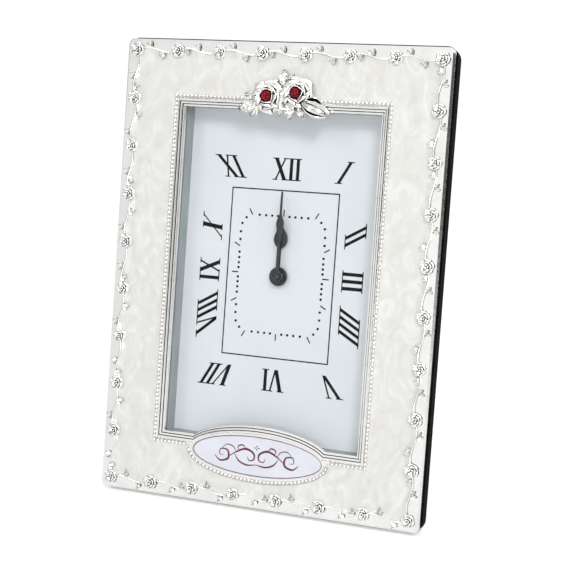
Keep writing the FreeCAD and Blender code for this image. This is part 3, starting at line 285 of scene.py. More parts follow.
# The border roses are part of the casting: a round boss each, with two rings of rolled petals laid one
# over the next and a tight heart of three. Thirty-two of them stand at even steps along the vine.
def start_clean():
    """Nothing selected and no object in edit mode."""
    if bpy.context.object and bpy.context.object.mode != "OBJECT":
        bpy.ops.object.mode_set(mode="OBJECT")
    bpy.ops.object.select_all(action="DESELECT")


def select_only(pieces):
    """These pieces selected, the first one active."""
    start_clean()
    for piece in pieces:
        piece.select_set(True)
    bpy.context.view_layer.objects.active = pieces[0]


def joined(pieces, name):
    """Pieces joined into one mesh under this name."""
    select_only(pieces)
    if len(pieces) > 1:
        bpy.ops.object.join()
    piece = bpy.context.object
    piece.name = name
    piece.data.name = name
    return piece


def apply_all(piece):
    """Every modifier of the piece applied."""
    select_only([piece])
    for modifier in list(piece.modifiers):
        bpy.ops.object.modifier_apply(modifier=modifier.name)


def outward(piece, merged=False):
    """All faces turned outwards, after doubles are merged where that is asked."""
    select_only([piece])
    bpy.ops.object.mode_set(mode="EDIT")
    bpy.ops.mesh.select_all(action="SELECT")
    if merged:
        bpy.ops.mesh.remove_doubles(threshold=0.0005)
    bpy.ops.mesh.normals_make_consistent(inside=False)
    bpy.ops.object.mode_set(mode="OBJECT")


def smooth(piece, angle=40.0):
    """Smooth shading with sharp edges kept above the angle."""
    select_only([piece])
    bpy.ops.object.shade_smooth_by_angle(angle=radians(angle))


def stand(piece, body, finish):
    """A piece made lying flat in millimetres is stood up in its place and put on its body."""
    select_only([piece])
    bpy.ops.object.transform_apply(location=True, rotation=True, scale=True)
    piece.data.transform(lying_to_standing)
    piece.data.materials.clear()
    piece.data.materials.append(finish)
    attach(piece, body)
    return piece


def petal(inner, outer, half_turn, foot, lip, roll, tilt, across=5, along=4):
    """One rolled petal, a grid bent round the rose's middle from its foot out to its lip."""
    bpy.ops.mesh.primitive_grid_add(x_subdivisions=across, y_subdivisions=along, size=2.0)
    made = bpy.context.object
    for point in made.data.vertices:
        side = point.co.x
        out = (point.co.y + 1.0) / 2.0
        reach = inner + (outer - inner) * out * (1.0 - 0.26 * side**2)
        turn = side * half_turn * (0.72 + 0.28 * out)
        rise = foot + (lip - foot) * out**0.6 - roll * max(0.0, out - 0.72) / 0.28 + tilt * side
        rise -= 0.60 * out * side**2
        point.co = Vector((reach * cos(turn), reach * sin(turn), rise))
    return made


def copied(piece):
    """A copy of a piece with its own mesh."""
    copy = piece.copy()
    copy.data = piece.data.copy()
    bpy.context.collection.objects.link(copy)
    return copy


def placed(piece, spot, turn, level=0.0, size=1.0):
    """A piece turned about its own middle and moved to its spot on the face."""
    place = Matrix.Translation((spot[0], spot[1], level)) @ Matrix.Rotation(turn, 4, "Z")
    piece.data.transform(place @ Matrix.Scale(size, 4))
    return piece


def turned_copies(piece, count, start):
    """Copies of a piece in a ring round the middle, the first one turned by start."""
    copies = [copied(piece) for _ in range(count - 1)] + [piece]
    return [placed(copy, (0, 0), start + tau * step / count) for step, copy in enumerate(copies)]


def thickened(piece, thickness, offset=-1.0, rounded=False):
    """A sheet given its thickness, and rounded off once where that is asked."""
    wall = piece.modifiers.new("wall", "SOLIDIFY")
    wall.thickness = thickness
    wall.offset = offset
    if rounded:
        round_off = piece.modifiers.new("round_off", "SUBSURF")
        round_off.levels = 1
        round_off.render_levels = 1
    apply_all(piece)
    return piece


def border_rose():
    """One border rose, its middle at zero."""
    outer_ring = turned_copies(petal(1.25, 3.45, radians(44), 0.00, 0.95, 0.30, 0.30), 5, 0.3)
    middle_ring = turned_copies(petal(0.65, 2.40, radians(52), 0.45, 1.45, 0.24, 0.28), 4, 0.93)
    heart = turned_copies(petal(0.12, 1.25, radians(66), 0.85, 1.80, 0.14, 0.20), 3, 0.1)
    return thickened(joined(outer_ring + middle_ring + heart, "border_rose"), 0.30, rounded=True)


vine_half_width = 74.8
vine_half_height = 101.9
rose_level = 0.28
roses_across = 8
roses_up = 10
pitch_across = 2 * vine_half_width / (roses_across - 1)
pitch_up = 2 * vine_half_height / (roses_up - 1)


def border_places():
    """Places round the vine, counter-clockwise from the bottom left corner, with the way onward."""
    places = []
    for side_u, side_v, onward, count, pitch, way in (
        (-1, -1, (1, 0), roses_across, pitch_across, 0.0),
        (1, -1, (0, 1), roses_up, pitch_up, pi / 2),
        (1, 1, (-1, 0), roses_across, pitch_across, pi),
        (-1, 1, (0, -1), roses_up, pitch_up, -pi / 2),
    ):
        for step in range(count - 1):
            u = side_u * vine_half_width + onward[0] * step * pitch
            v = side_v * vine_half_height + onward[1] * step * pitch
            places.append((Vector((u, v)), way))
    return places


start_clean()
rose_model = border_rose()
rose_copies = []
for index, (middle, way) in enumerate(border_places()):
    size = 0.97 + 0.05 * sin(index * 1.7)
    rose_copies.append(placed(copied(rose_model), middle, index * 2.4, rose_level, size))
bpy.data.objects.remove(rose_model)
border_roses = joined(rose_copies, "border_roses")
smooth(border_roses, 60.0)
flower_silver = plated_silver("flower_silver", 1.3, 0.40, 0.84, alone=False)
stand(border_roses, "clock_body", flower_silver)


# The vine runs from rose to rose in one wave for each step, a thin round stem cast on the rim's inner
# edge, with small pointed leaves in pairs on both sides of it.
vine_swing = 1.1
wave_points_each = 12
stem_thickness = 0.98
stem_level = 0.30
leaf_length = 3.6
leaf_width = 1.7
leaf_rise = 0.62
leaf_level = 0.08
leaf_thickness = 0.14


def vine_place(index, share):
    """A place on the vine, share of the way from one rose to the next, and the way onward there."""
    places = border_places()
    middle, way = places[index % len(places)]
    pitch = pitch_across if abs(sin(way)) < 0.5 else pitch_up
    onward = Vector((cos(way), sin(way)))
    inward = Vector((-sin(way), cos(way)))
    swing = vine_swing * sin(tau * share)
    slope = vine_swing * tau / pitch * cos(tau * share)
    return middle + onward * pitch * share + inward * swing, way + atan2(slope, 1.0)


def stem(name, route, thickness, height):
    """A round closed stem along a route of flat points."""
    line = bpy.data.curves.new(name, "CURVE")
    line.dimensions = "3D"
    run = line.splines.new("NURBS")
    run.points.add(len(route) - 1)
    for point, place in zip(run.points, route):
        point.co = (place.x, place.y, height, 1.0)
    run.order_u = 3
    run.use_cyclic_u = True
    line.bevel_depth = thickness / 2
    line.bevel_resolution = 2
    line.resolution_u = 2
    tube = bpy.data.objects.new(name, line)
    bpy.context.collection.objects.link(tube)
    select_only([tube])
    bpy.ops.object.convert(target="MESH")
    return bpy.context.object


def small_leaf(length, width, rise):
    """A pointed leaf with a folded middle, its stalk end at zero and its tip along u."""
    bpy.ops.mesh.primitive_grid_add(x_subdivisions=6, y_subdivisions=4, size=2.0)
    leaf = bpy.context.object
    for point in leaf.data.vertices:
        along = (point.co.x + 1.0) / 2.0
        side = point.co.y
        half = width / 2 * sin(pi * min(1.0, 0.06 + 0.94 * along)) ** 0.75
        fold = rise * (0.35 + 0.65 * abs(side)) * sin(pi * min(1.0, 0.08 + 0.86 * along)) ** 0.5
        point.co = Vector((length * along, side * half, 0.12 + fold))
    return leaf


start_clean()
vine_route = []
for index in range(len(border_places())):
    for step in range(wave_points_each):
        vine_route.append(vine_place(index, step / wave_points_each)[0])
vine_stem = stem("vine_stem", vine_route, stem_thickness, stem_level)
vine_parts = [vine_stem]
for index in range(len(border_places())):
    sprigs = [(0.50, -1, 1.0), (0.72, 1, 0.92)] if index % 2 else [(0.31, 1, 1.0), (0.66, -1, 0.95)]
    for share, side, size in sprigs:
        middle, way = vine_place(index, share)
        for spread in (0.55, 1.35):
            leaf = small_leaf(leaf_length * size, leaf_width * size, leaf_rise)
            vine_parts.append(placed(leaf, middle, way + side * spread, leaf_level))
vine = thickened(joined(vine_parts, "vine"), leaf_thickness)
smooth(vine, 50.0)
vine_silver = plated_silver("vine_silver", 1.1, 0.48, 0.84, alone=False)
stand(vine, "clock_body", vine_silver)


# The pearl enamel is poured into the recess between the vine and the beaded edge and fired. It creeps
# up the silver at its edges and lies in soft swirls of cream and pearl under a glossy skin.
enamel_top = -0.4
enamel_thickness = 0.25
enamel_under_plaque = 0.35
enamel_step = 1.0
window_half_width = 48.4
window_half_height = 76.45
creep_rise = 0.95
creep_reach = 3.0
creep_start = 0.35
bead_creep_rise = 0.36
bead_creep_reach = 2.0
swell_rise = 0.06
enamel_over = 1.4
window_edge = 1.5
coarse_cut = -0.9
fine_reach = 3.8
fine_cut = -0.35
plaque_middle_v = -82.8
plaque_half_length = 32.5
plaque_half_height = 9.4
bezel = 2.6
bead_out_side = 53.6
bead_out_end = 81.7


def vine_gap(u, v):
    """How far inside the vine's middle line a place is."""
    gap_side = vine_half_width - abs(u)
    gap_end = vine_half_height - abs(v)
    along_side = (v + vine_half_height) / pitch_up
    along_end = (u + vine_half_width) / pitch_across
    side_swing = vine_swing * sin(tau * along_side) * (1 if u > 0 else -1)
    end_swing = vine_swing * sin(tau * along_end) * (1 if v < 0 else -1)
    return min(gap_side - side_swing, gap_end - end_swing)


def choose_faces(piece, chosen):
    """The faces of a piece in edit mode selected by their middles and their normals."""
    shape = bmesh.from_edit_mesh(piece.data)
    for side in shape.faces:
        side.select = chosen(side.calc_center_median(), side.normal)
    bmesh.update_edit_mesh(piece.data)


start_clean()
bpy.ops.mesh.primitive_grid_add(
    x_subdivisions=int(2 * vine_half_width / enamel_step),
    y_subdivisions=int(2 * vine_half_height / enamel_step),
    size=2.0,
)
enamel = bpy.context.object
enamel.scale = (vine_half_width + enamel_over, vine_half_height + enamel_over, 1.0)
bpy.ops.object.transform_apply(location=False, rotation=False, scale=True)
bpy.ops.object.mode_set(mode="EDIT")
bpy.ops.mesh.select_all(action="DESELECT")
choose_faces(
    enamel,
    lambda spot, normal: (
        abs(spot.x) < window_half_width + window_edge and abs(spot.y) < window_half_height + window_edge
    ) or vine_gap(spot.x, spot.y) < coarse_cut,
)
bpy.ops.mesh.delete(type="FACE")
choose_faces(enamel, lambda spot, normal: vine_gap(spot.x, spot.y) < fine_reach)
bpy.ops.mesh.subdivide(number_cuts=2)
bpy.ops.mesh.select_all(action="DESELECT")
choose_faces(enamel, lambda spot, normal: vine_gap(spot.x, spot.y) < fine_cut)
bpy.ops.mesh.delete(type="FACE")
bpy.ops.object.mode_set(mode="OBJECT")
for point in enamel.data.vertices:
    gap = max(0.0, vine_gap(point.co.x, point.co.y) - creep_start)
    bead_gap = max(0.0, max(abs(point.co.x) - bead_out_side, abs(point.co.y) - bead_out_end))
    swell = noise.noise(Vector((point.co.x / 9.0, point.co.y / 13.0, 3.7)))
    uneven = 0.75 + 0.5 * noise.noise(Vector((point.co.x / 5.0, point.co.y / 5.0, 9.1)))
    near = max(0.0, 1.0 - gap / (creep_reach * uneven))
    creep = creep_rise * uneven * near * (0.25 * near + 0.75)
    plaque_v = (point.co.y - plaque_middle_v) / (plaque_half_height + bezel)
    from_plaque = hypot(point.co.x / (plaque_half_length + bezel), plaque_v)
    near_beads = max(0.0, 1.0 - bead_gap / bead_creep_reach)
    bead_creep = bead_creep_rise * near_beads**2 * (1.0 if bead_gap > 0.0 else 0.3)
    point.co.z = enamel_top + creep + bead_creep + swell_rise * swell
    if from_plaque < 1.0:
        point.co.z = enamel_top - enamel_under_plaque
thickened(enamel, enamel_thickness)
enamel.name = "pearl_enamel"
smooth(enamel, 60.0)

pearl_skin = {"Coat_Weight": 1.0, "Coat_Roughness": 0.06, "Coat_IOR": 1.7}
pearl = patterned(
    new_finish("pearl", (0.83, 0.815, 0.785), 0.16, **pearl_skin),
    (9.0, 4.5, 2.0, (1.0, 0.6, 1.0)),
    (
        (0.26, (0.735, 0.695, 0.650)),
        (0.42, (0.775, 0.755, 0.710)),
        (0.54, (0.800, 0.790, 0.745)),
        (0.66, (0.860, 0.858, 0.828)),
    ),
    (6.0,), (0.10, 0.26), (4.5, 1.0, 0.5), 0.10,
)
stand(enamel, "clock_body", pearl)
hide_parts("enamel_panel")


# A row of small round beads stands on the flat band outside the ridges, and goes on round the lower
# edge of the plaque. They are cast with the front, and the band between them is painted dark as shade.
bead_pitch = 1.95
bead_side = 52.95
bead_end = 81.35
bead_height = 0.12
bead_length = 1.78
bead_width = 1.42
bead_thickness = 0.85
bead_oval_out = 2.0
plaque_clear = 4.6
row_end_turn = 0.09


def bead(middle, way):
    """One oval bead, longer along the row."""
    bpy.ops.mesh.primitive_uv_sphere_add(segments=8, ring_count=5, radius=0.5)
    made = bpy.context.object
    made.data.transform(Matrix.Diagonal((bead_length, bead_width, bead_thickness, 1.0)))
    return placed(made, middle, way, bead_height)


def bead_row_places():
    """The middles of the beads with the way of the row at each."""
    places = []
    up_count = round(2 * bead_end / bead_pitch)
    across_count = round(2 * bead_side / bead_pitch)
    for step in range(up_count + 1):
        v = -bead_end + 2 * bead_end * step / up_count
        places.append((Vector((bead_side, v)), pi / 2))
        places.append((Vector((-bead_side, v)), pi / 2))
    for step in range(1, across_count):
        u = -bead_side + 2 * bead_side * step / across_count
        places.append((Vector((u, bead_end)), 0.0))
        if abs(u) > plaque_half_length + plaque_clear:
            places.append((Vector((u, -bead_end)), 0.0))
    along = plaque_half_length + bead_oval_out
    high = plaque_half_height + bead_oval_out
    turn = pi + row_end_turn
    while turn < tau - row_end_turn:
        spot = Vector((along * cos(turn), plaque_middle_v + high * sin(turn)))
        way = atan2(high * cos(turn), -along * sin(turn))
        places.append((spot, way))
        turn += bead_pitch / hypot(along * sin(turn), high * cos(turn))
    return places


start_clean()
beads = joined([bead(middle, way) for middle, way in bead_row_places()], "beaded_edge")
smooth(beads, 60.0)
bead_silver = plated_silver("bead_silver", 0.6, 0.14, 0.40)
stand(beads, "clock_body", bead_silver)

# The bed of the row is the casting's own band, in straight strips and an arc under the plaque. It is
# painted darker than the silver, as the shade between the beads.
bed_level = 0.17
bed_near = 52.05
bed_far = 53.45
bed_near_end = 80.10
bed_far_end = 81.50
bed_open_half = 36.0
bed_oval_near = 1.25
bed_oval_far = 2.75
bed_thickness = 0.3
bed_sink = 0.13


def bed_strip(corners):
    """One flat strip of the band, painted darker as the shade between the beads."""
    bpy.ops.mesh.primitive_plane_add(size=2.0)
    strip = bpy.context.object
    for point, (x, y) in zip(strip.data.vertices, (corners[0], corners[1], corners[3], corners[2])):
        point.co = (x, y, bed_level)
    return strip


def bed_box(low_x, low_y, high_x, high_y):
    """A straight strip of the band between two corners."""
    return bed_strip([(low_x, low_y), (high_x, low_y), (high_x, high_y), (low_x, high_y)])


start_clean()
bed_strips = []
for side in (1, -1):
    bed_strips.append(bed_box(side * bed_near, -bed_far_end, side * bed_far, bed_far_end))
    bed_strips.append(bed_box(side * bed_open_half, -bed_far_end, side * bed_near, -bed_near_end))
bed_strips.append(bed_box(-bed_near, bed_near_end, bed_near, bed_far_end))
bed_steps = 64
for step in range(bed_steps):
    first = pi + pi * step / bed_steps
    after = pi + pi * (step + 1) / bed_steps
    corners = [
        ((plaque_half_length + out) * cos(turn), plaque_middle_v + (plaque_half_height + out) * sin(turn))
        for turn, out in (
            (first, bed_oval_near), (first, bed_oval_far), (after, bed_oval_far), (after, bed_oval_near)
        )
    ]
    bed_strips.append(bed_strip(corners))
bead_bed = thickened(joined(bed_strips, "bead_bed"), bed_thickness, 0.0)
outward(bead_bed)
bead_bed.data.transform(Matrix.Translation((0, 0, -bed_sink)))
# Painted shade: the bed is darker than the silver so that the gaps between the beads look shaded.
painted_shade_bed = patterned(
    new_finish("painted_shade_bed", (0.40, 0.39, 0.36), 0.34, 1.0),
    (1.2,), ((0.30, (0.42, 0.41, 0.385)), (0.70, (0.68, 0.665, 0.63))),
    (0.8,), (0.25, 0.45), (0.6, 2.0), 0.03,
)
stand(bead_bed, "clock_body", painted_shade_bed)


# The oval plaque is a thin lacquered metal plate held under its bezel. Its field is pale lilac white,
# with a thin printed line round it and a small printed scroll in crimson and grey.
lilac = patterned(
    new_finish("lilac_lacquer", (0.80, 0.80, 0.86), 0.22, Coat_Weight=0.6, Coat_Roughness=0.05),
    (12.0, 2.0), ((0.35, (0.760, 0.765, 0.835)), (0.65, (0.800, 0.815, 0.880))),
    (3.0,), (0.16, 0.28), (1.4, 2.0), 0.006,
)
dress(lilac, "oval_plaque")


def printed_ring(name, half_length, half_height, middle_v, line_width, level, thickness):
    """A thin oval line lying on a surface."""
    bpy.ops.mesh.primitive_circle_add(vertices=128, radius=1.0, fill_type="NGON")
    ring = bpy.context.object
    ring.data.transform(Matrix.Diagonal((half_length, half_height, 1.0, 1.0)))
    bpy.ops.object.mode_set(mode="EDIT")
    bpy.ops.mesh.select_all(action="SELECT")
    bpy.ops.mesh.inset(thickness=line_width, depth=0.0)
    bpy.ops.mesh.delete(type="FACE")
    bpy.ops.object.mode_set(mode="OBJECT")
    ring.data.transform(Matrix.Translation((0, middle_v, level)))
    thickened(ring, thickness, 1.0)
    ring.name = name
    return ring


start_clean()
plaque_front = -0.2
plaque_line_inset = 0.2
plaque_line_width = 0.36
line_length = plaque_half_length - plaque_line_inset
line_height = plaque_half_height - plaque_line_inset
plaque_line = printed_ring(
    "plaque_line", line_length, line_height, plaque_middle_v, plaque_line_width, plaque_front, 0.05
)
smooth(plaque_line, 40.0)


def ink(name, dark, pale, size, **own):
    """A printing ink, slightly uneven."""
    made = new_finish(name, dark, 0.42, **own)
    colours = ((0.35, dark), (0.70, pale))
    return patterned(made, (size,), colours, (size * 0.6,), (0.34, 0.52), (size * 0.5, 2.0), 0.004)


line_ink = ink("line_ink", (0.085, 0.065, 0.060), (0.26, 0.13, 0.115), 9.0)
stand(plaque_line, "clock_body", line_ink)


def flat_print(name, outlines, level, thickness):
    """Closed flat outlines printed on a surface at this level."""
    made = []
    for outline in outlines:
        bpy.ops.mesh.primitive_circle_add(vertices=len(outline), radius=1.0, fill_type="NGON")
        shape = bpy.context.object
        for point, place in zip(shape.data.vertices, outline):
            point.co = (place[0], place[1], level)
        made.append(shape)
    sheet = thickened(joined(made, name), thickness, 0.0)
    outward(sheet)
    return sheet


def through(points, span, share):
    """A place on the smooth curve through points, share of the way along one of its spans."""
    around = [points[max(0, min(len(points) - 1, span + shift))] for shift in (-1, 0, 1, 2)]
    return [
        0.5 * (2 * b + (c - a) * share + (2 * a - 5 * b + 4 * c - d) * share**2
               + (3 * b - a - 3 * c + d) * share**3)
        for a, b, c, d in zip(*around)
    ]


def brush_stroke(points, widths, steps=40):
    """The outline of a pen stroke through points, with its width given at each of them."""
    line = []
    spans = len(points) - 1
    for step in range(steps + 1):
        along = min(step / steps * spans, spans - 1e-6)
        first = int(along)
        share = along - first
        spot = through(points, first, share)
        half = (widths[first] * (1 - share) + widths[first + 1] * share) / 2
        line.append((Vector(spot), half))
    left_edge = []
    right_edge = []
    for index, (spot, half) in enumerate(line):
        ahead = line[min(index + 1, steps)][0] - line[max(index - 1, 0)][0]
        across = Vector((-ahead.y, ahead.x)).normalized() * half
        left_edge.append(spot + across)
        right_edge.append(spot - across)
    return [
        [left_edge[i], left_edge[i + 1], right_edge[i + 1], right_edge[i]] for i in range(steps)
    ]


scroll_strokes = (
    (((-21.0, -1.0), (-18.2, -3.2), (-14.2, -1.8), (-14.6, 1.8), (-18.0, 2.2), (-18.6, -0.2), (-16.6, -0.6)),
     (0.25, 0.8, 1.1, 0.8, 0.55, 0.4, 0.2)),
    (((-14.4, -1.2), (-10.0, 1.8), (-5.6, 3.6), (-1.6, 2.0), (-1.2, -0.8), (-3.6, -1.6), (-4.4, 0.2)),
     (0.2, 0.7, 1.1, 1.0, 0.7, 0.45, 0.2)),
    (((-11.0, 0.6), (-8.6, -2.4), (-4.6, -3.8), (0.0, -3.2)), (0.2, 0.75, 0.8, 0.3)),
    (((-9.0, 2.6), (-9.4, 4.4), (-7.2, 5.2), (-5.8, 4.2)), (0.2, 0.6, 0.7, 0.25)),
    (((-17.6, 2.4), (-15.2, 4.6), (-12.0, 4.0), (-10.4, 2.0)), (0.15, 0.45, 0.5, 0.2)),
)
scroll_drop = 0.6
star_v = 4.6
star_flatness = 0.8
start_clean()
scroll_outlines = []
for points, widths in scroll_strokes:
    for way in (1, -1):
        turned = [Vector((way * -x, y)) for x, y in points]
        scroll_outlines += brush_stroke(turned, widths)
for step in range(4):
    petal_turn = step * pi / 2
    corners = [
        Vector((reach * cos(petal_turn + aside), star_v + reach * star_flatness * sin(petal_turn + aside)))
        for reach, aside in ((0.2, 0.0), (1.0, -0.35), (1.6, 0.0), (1.0, 0.35))
    ]
    scroll_outlines.append(corners)
scroll_v = plaque_middle_v - scroll_drop
scroll_outlines = [[(x, y + scroll_v) for x, y in outline] for outline in scroll_outlines]
scroll = flat_print("plaque_scroll", scroll_outlines, plaque_front, 0.06)
scroll_ink = patterned(
    new_finish("scroll_ink", (0.25, 0.02, 0.05), 0.38),
    (1.6, 1.0, 0.0, (0.4, 1.6, 1.0)),
    ((0.40, (0.15, 0.008, 0.030)), (0.52, (0.20, 0.02, 0.05)), (0.60, (0.09, 0.08, 0.10))),
    (1.0,), (0.30, 0.48),
)
stand(scroll, "clock_body", scroll_ink)


# The rose spray is a casting of its own, two full roses side by side with toothed leaves behind them
# and a folded bud on the right, pinned through the top moulding and plated like the front.
left_rose = Vector((-5.9, 82.4))
right_rose = Vector((8.3, 84.2))


def folded_petal(inner, outer, half_turn, foot, lip, roll, tilt):
    """A broad petal with a straight folded lip, for the large roses."""
    bpy.ops.mesh.primitive_grid_add(x_subdivisions=8, y_subdivisions=5, size=2.0)
    made = bpy.context.object
    for point in made.data.vertices:
        side = point.co.x
        out = (point.co.y + 1.0) / 2.0
        turn = side * half_turn * (0.80 + 0.20 * out)
        straight = cos(half_turn * 0.80) / cos(turn * 0.80)
        reach = inner + (outer - inner) * out
        reach *= 1.0 - 0.92 * out * (1.0 - straight)
        curl = roll * max(0.0, out - 0.70) / 0.30
        rise = foot + (lip - foot) * out**0.55 - curl + tilt * side - 0.95 * out * side**2
        point.co = Vector((reach * cos(turn), reach * sin(turn), rise))
    return made


def full_rose(middle, start, name):
    """A full rose: four rings of folded petals round the cup of its stone, over a low round base."""
    rings = [
        (folded_petal(3.6, 9.0, radians(44), 0.40, 2.30, 0.90, 0.75), 5, start),
        (folded_petal(3.1, 7.5, radians(46), 1.20, 3.60, 0.70, 0.80), 5, start + 0.55),
        (folded_petal(2.7, 6.0, radians(48), 2.00, 4.45, 0.50, 0.70), 5, start + 0.15),
        (folded_petal(2.55, 4.5, radians(54), 2.80, 4.75, 0.25, 0.45), 4, start + 0.90),
    ]
    petals = []
    for model, count, turn in rings:
        petals += turned_copies(model, count, turn)
    rose = thickened(joined(petals, name), 0.50, rounded=True)
    bpy.ops.mesh.primitive_cone_add(vertices=40, radius1=5.9, radius2=2.7, depth=3.1, location=(0, 0, 1.45))
    base = bpy.context.object
    bpy.ops.object.transform_apply(location=True, rotation=False, scale=False)
    bpy.ops.object.mode_set(mode="EDIT")
    bpy.ops.mesh.select_all(action="SELECT")
    bpy.ops.mesh.bevel(offset=0.25, segments=2)
    bpy.ops.object.mode_set(mode="OBJECT")
    return placed(joined([rose, base], name), middle, 0.0)


def toothed_leaf(root, bearing, length, width, level, drop):
    """A toothed leaf with a sunk midrib and raised veins, arched from its root down to its tip."""
    bpy.ops.mesh.primitive_grid_add(x_subdivisions=26, y_subdivisions=8, size=2.0)
    made = bpy.context.object
    for point in made.data.vertices:
        along = (point.co.x + 1.0) / 2.0
        side = point.co.y
        tooth = 1.0 - 0.30 * ((along * 5.0 + 0.15) % 1.0) * min(1.0, 4.0 * (1.0 - along) + 0.3)
        half = width / 2 * sin(pi * min(1.0, 0.10 + 0.90 * along)) ** 0.70 * tooth
        lean_on = along + 0.10 * abs(side) * (1.0 - along)
        vein = 0.34 * cos(tau * (along * 5.0 - 1.3 * abs(side)))
        fold = 0.62 * abs(side) ** 0.8 * sin(pi * min(1.0, 0.12 + 0.84 * along))
        arch = 0.55 * sin(pi * along) - drop * along**1.6
        rise = level + arch + fold + vein * min(1.0, 3.0 * abs(side))
        point.co = Vector((length * lean_on, side * half, rise))
    return placed(thickened(made, 0.45), root, radians(bearing))


def bud_sheet(radius, first, last, length, lift, point_out):
    """One sheet wrapped round the bud's long axis, from first to last degrees round it."""
    bpy.ops.mesh.primitive_grid_add(x_subdivisions=12, y_subdivisions=10, size=2.0)
    made = bpy.context.object
    for point in made.data.vertices:
        along = (point.co.x + 1.0) / 2.0
        share = (point.co.y + 1.0) / 2.0
        turn = radians(first + (last - first) * share)
        bulge = sin(pi * (0.08 + 0.88 * along)) ** 0.62
        lipped = 1.0 + 0.34 * share**5 + point_out * along**3
        reach = radius * bulge * lipped
        spot = length * (along + 0.06 * share)
        point.co = Vector((spot, reach * cos(turn), lift + reach * sin(turn) * 0.92))
    return thickened(made, 0.36)


def folded_bud(root, bearing):
    """The bud: an inner core with five sheets folded over it."""
    bpy.ops.mesh.primitive_uv_sphere_add(segments=24, ring_count=12, radius=1.0)
    core = bpy.context.object
    core.data.transform(Matrix.Translation((6.1, 0, 2.6)) @ Matrix.Diagonal((5.6, 2.3, 1.9, 1.0)))
    sheets = [
        core,
        bud_sheet(2.9, -20.0, 112.0, 11.4, 2.4, 0.10),
        bud_sheet(3.3, 200.0, 92.0, 12.2, 2.4, 0.15),
        bud_sheet(3.7, -35.0, 66.0, 12.8, 2.3, 0.18),
        bud_sheet(3.9, 215.0, 122.0, 12.2, 2.2, 0.12),
        bud_sheet(4.1, -50.0, 28.0, 10.6, 2.0, 0.05),
    ]
    return placed(joined(sheets, "folded_bud"), root, radians(bearing))


start_clean()
spray_parts = [
    full_rose(left_rose, 0.55, "left_rose"),
    full_rose(right_rose, 0.10, "right_rose"),
    folded_bud((11.7, 79.6), -22.0),
]
for root, bearing, length, width, level, drop in (
    ((-9.4, 79.0), 194.0, 11.6, 5.8, 1.25, 0.35),
    ((-9.8, 80.4), 160.0, 8.4, 4.6, 1.05, 0.15),
    ((-8.4, 77.6), 216.0, 7.6, 4.0, 1.30, 0.30),
    ((1.9, 86.6), 97.0, 8.2, 5.0, 1.30, 0.65),
    ((3.4, 87.2), 62.0, 6.0, 3.8, 1.20, 0.55),
    ((1.2, 80.8), 262.0, 7.6, 4.4, 1.60, 0.50),
    ((3.6, 80.6), 284.0, 8.8, 4.6, 1.50, 0.50),
    ((8.6, 78.6), 304.0, 6.4, 3.8, 1.40, 0.40),
    ((12.2, 80.6), 4.0, 7.4, 3.6, 1.20, 0.35),
):
    spray_parts.append(toothed_leaf(root, bearing, length, width, level, drop))
bpy.ops.mesh.primitive_uv_sphere_add(segments=24, ring_count=12, radius=1.0)
spray_bridge = bpy.context.object
spray_bridge.data.transform(Matrix.Translation((1.6, 82.6, 1.6)) @ Matrix.Diagonal((5.2, 2.8, 1.5, 1.0)))
spray_parts.append(spray_bridge)
spray = joined(spray_parts, "rose_spray_casting")
smooth(spray, 48.0)
spray_silver = plated_silver("spray_silver", 1.3, 0.30, 0.66, alone=False)
stand(spray, "clock_body", spray_silver)
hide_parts("rose_spray")


# Two red cut stones sit in the roses' cups: a flat table, a ring of crown facets and a girdle, cut
# from ruby-coloured glass and cemented.
ruby = new_finish("ruby", (0.30, 0.002, 0.012), 0.06, Specular_IOR_Level=0.22)
# Painted light: cells of bright red shading to near black stand for the glints and dark depths inside the cut
# glass.
ruby_glint_cells = wired(ruby, "ShaderNodeTexVoronoi", {"Vector": face_place(ruby), "Scale": 0.75}, "Distance")
ruby_red_and_painted_glints = stops(
    ruby,
    ruby_glint_cells,
    (0.10, (0.52, 0.004, 0.030)),
    (0.42, (0.22, 0.001, 0.010)),
    (0.75, (0.045, 0.0005, 0.002)),
)
drive(ruby, "Base Color", ruby_red_and_painted_glints)
drive(ruby, "Roughness", between(ruby, mottle(ruby, 1.2), 0.04, 0.10))


def turned_blank(sides, radius, depth, middle, level):
    """A round blank, its place kept in its mesh."""
    bpy.ops.mesh.primitive_cylinder_add(
        vertices=sides, radius=radius, depth=depth, location=(middle[0], middle[1], level)
    )
    bpy.ops.object.transform_apply(location=True, rotation=False, scale=False)
    return bpy.context.object


def stepped_top(piece, middle, floor, steps, twist=0.0):
    """The round top of a blank, inset step by step, each step raised or sunk and twisted."""

    def on_top(spot, normal):
        central = hypot(spot.x - middle[0], spot.y - middle[1]) < 0.05
        return normal.z > 0.9 and central and spot.z > floor

    bpy.ops.object.mode_set(mode="EDIT")
    for thickness, depth in steps:
        choose_faces(piece, on_top)
        bpy.ops.mesh.inset(thickness=thickness, depth=depth)
        if twist:
            bpy.ops.transform.rotate(value=twist, orient_axis="Z", center_override=(0, 0, 0))
    bpy.ops.object.mode_set(mode="OBJECT")


stone_sides = 16
stone_radius = 2.2
girdle_height = 1.3
girdle_level = 3.75


def cut_stone(middle, start):
    """A round cut stone with sixteen sides: girdle, two rings of crown facets and a table."""
    stone = turned_blank(stone_sides, stone_radius, girdle_height, (0, 0), girdle_level)
    stepped_top(stone, (0, 0), girdle_level, ((0.42, 0.50), (0.44, 0.32)), pi / stone_sides)
    return placed(stone, middle, start)


start_clean()
stones = joined([cut_stone(left_rose, 0.2), cut_stone(right_rose, 0.55)], "red_stones")
stand(stones, "clock_body", ruby)
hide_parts("spray_crystals")


# The window glass is a plain sheet laid in from behind against the casting's rebate. It is clear,
# with polished faces.
clear_glass = patterned(
    new_finish("clear_glass", (0.02, 0.03, 0.03), 0.03, Alpha=0.02),
    (40.0,), ((0.3, (0.015, 0.022, 0.022)), (0.7, (0.030, 0.040, 0.042))),
    (30.0,), (0.02, 0.05),
)
dress(clear_glass, "window_glass")
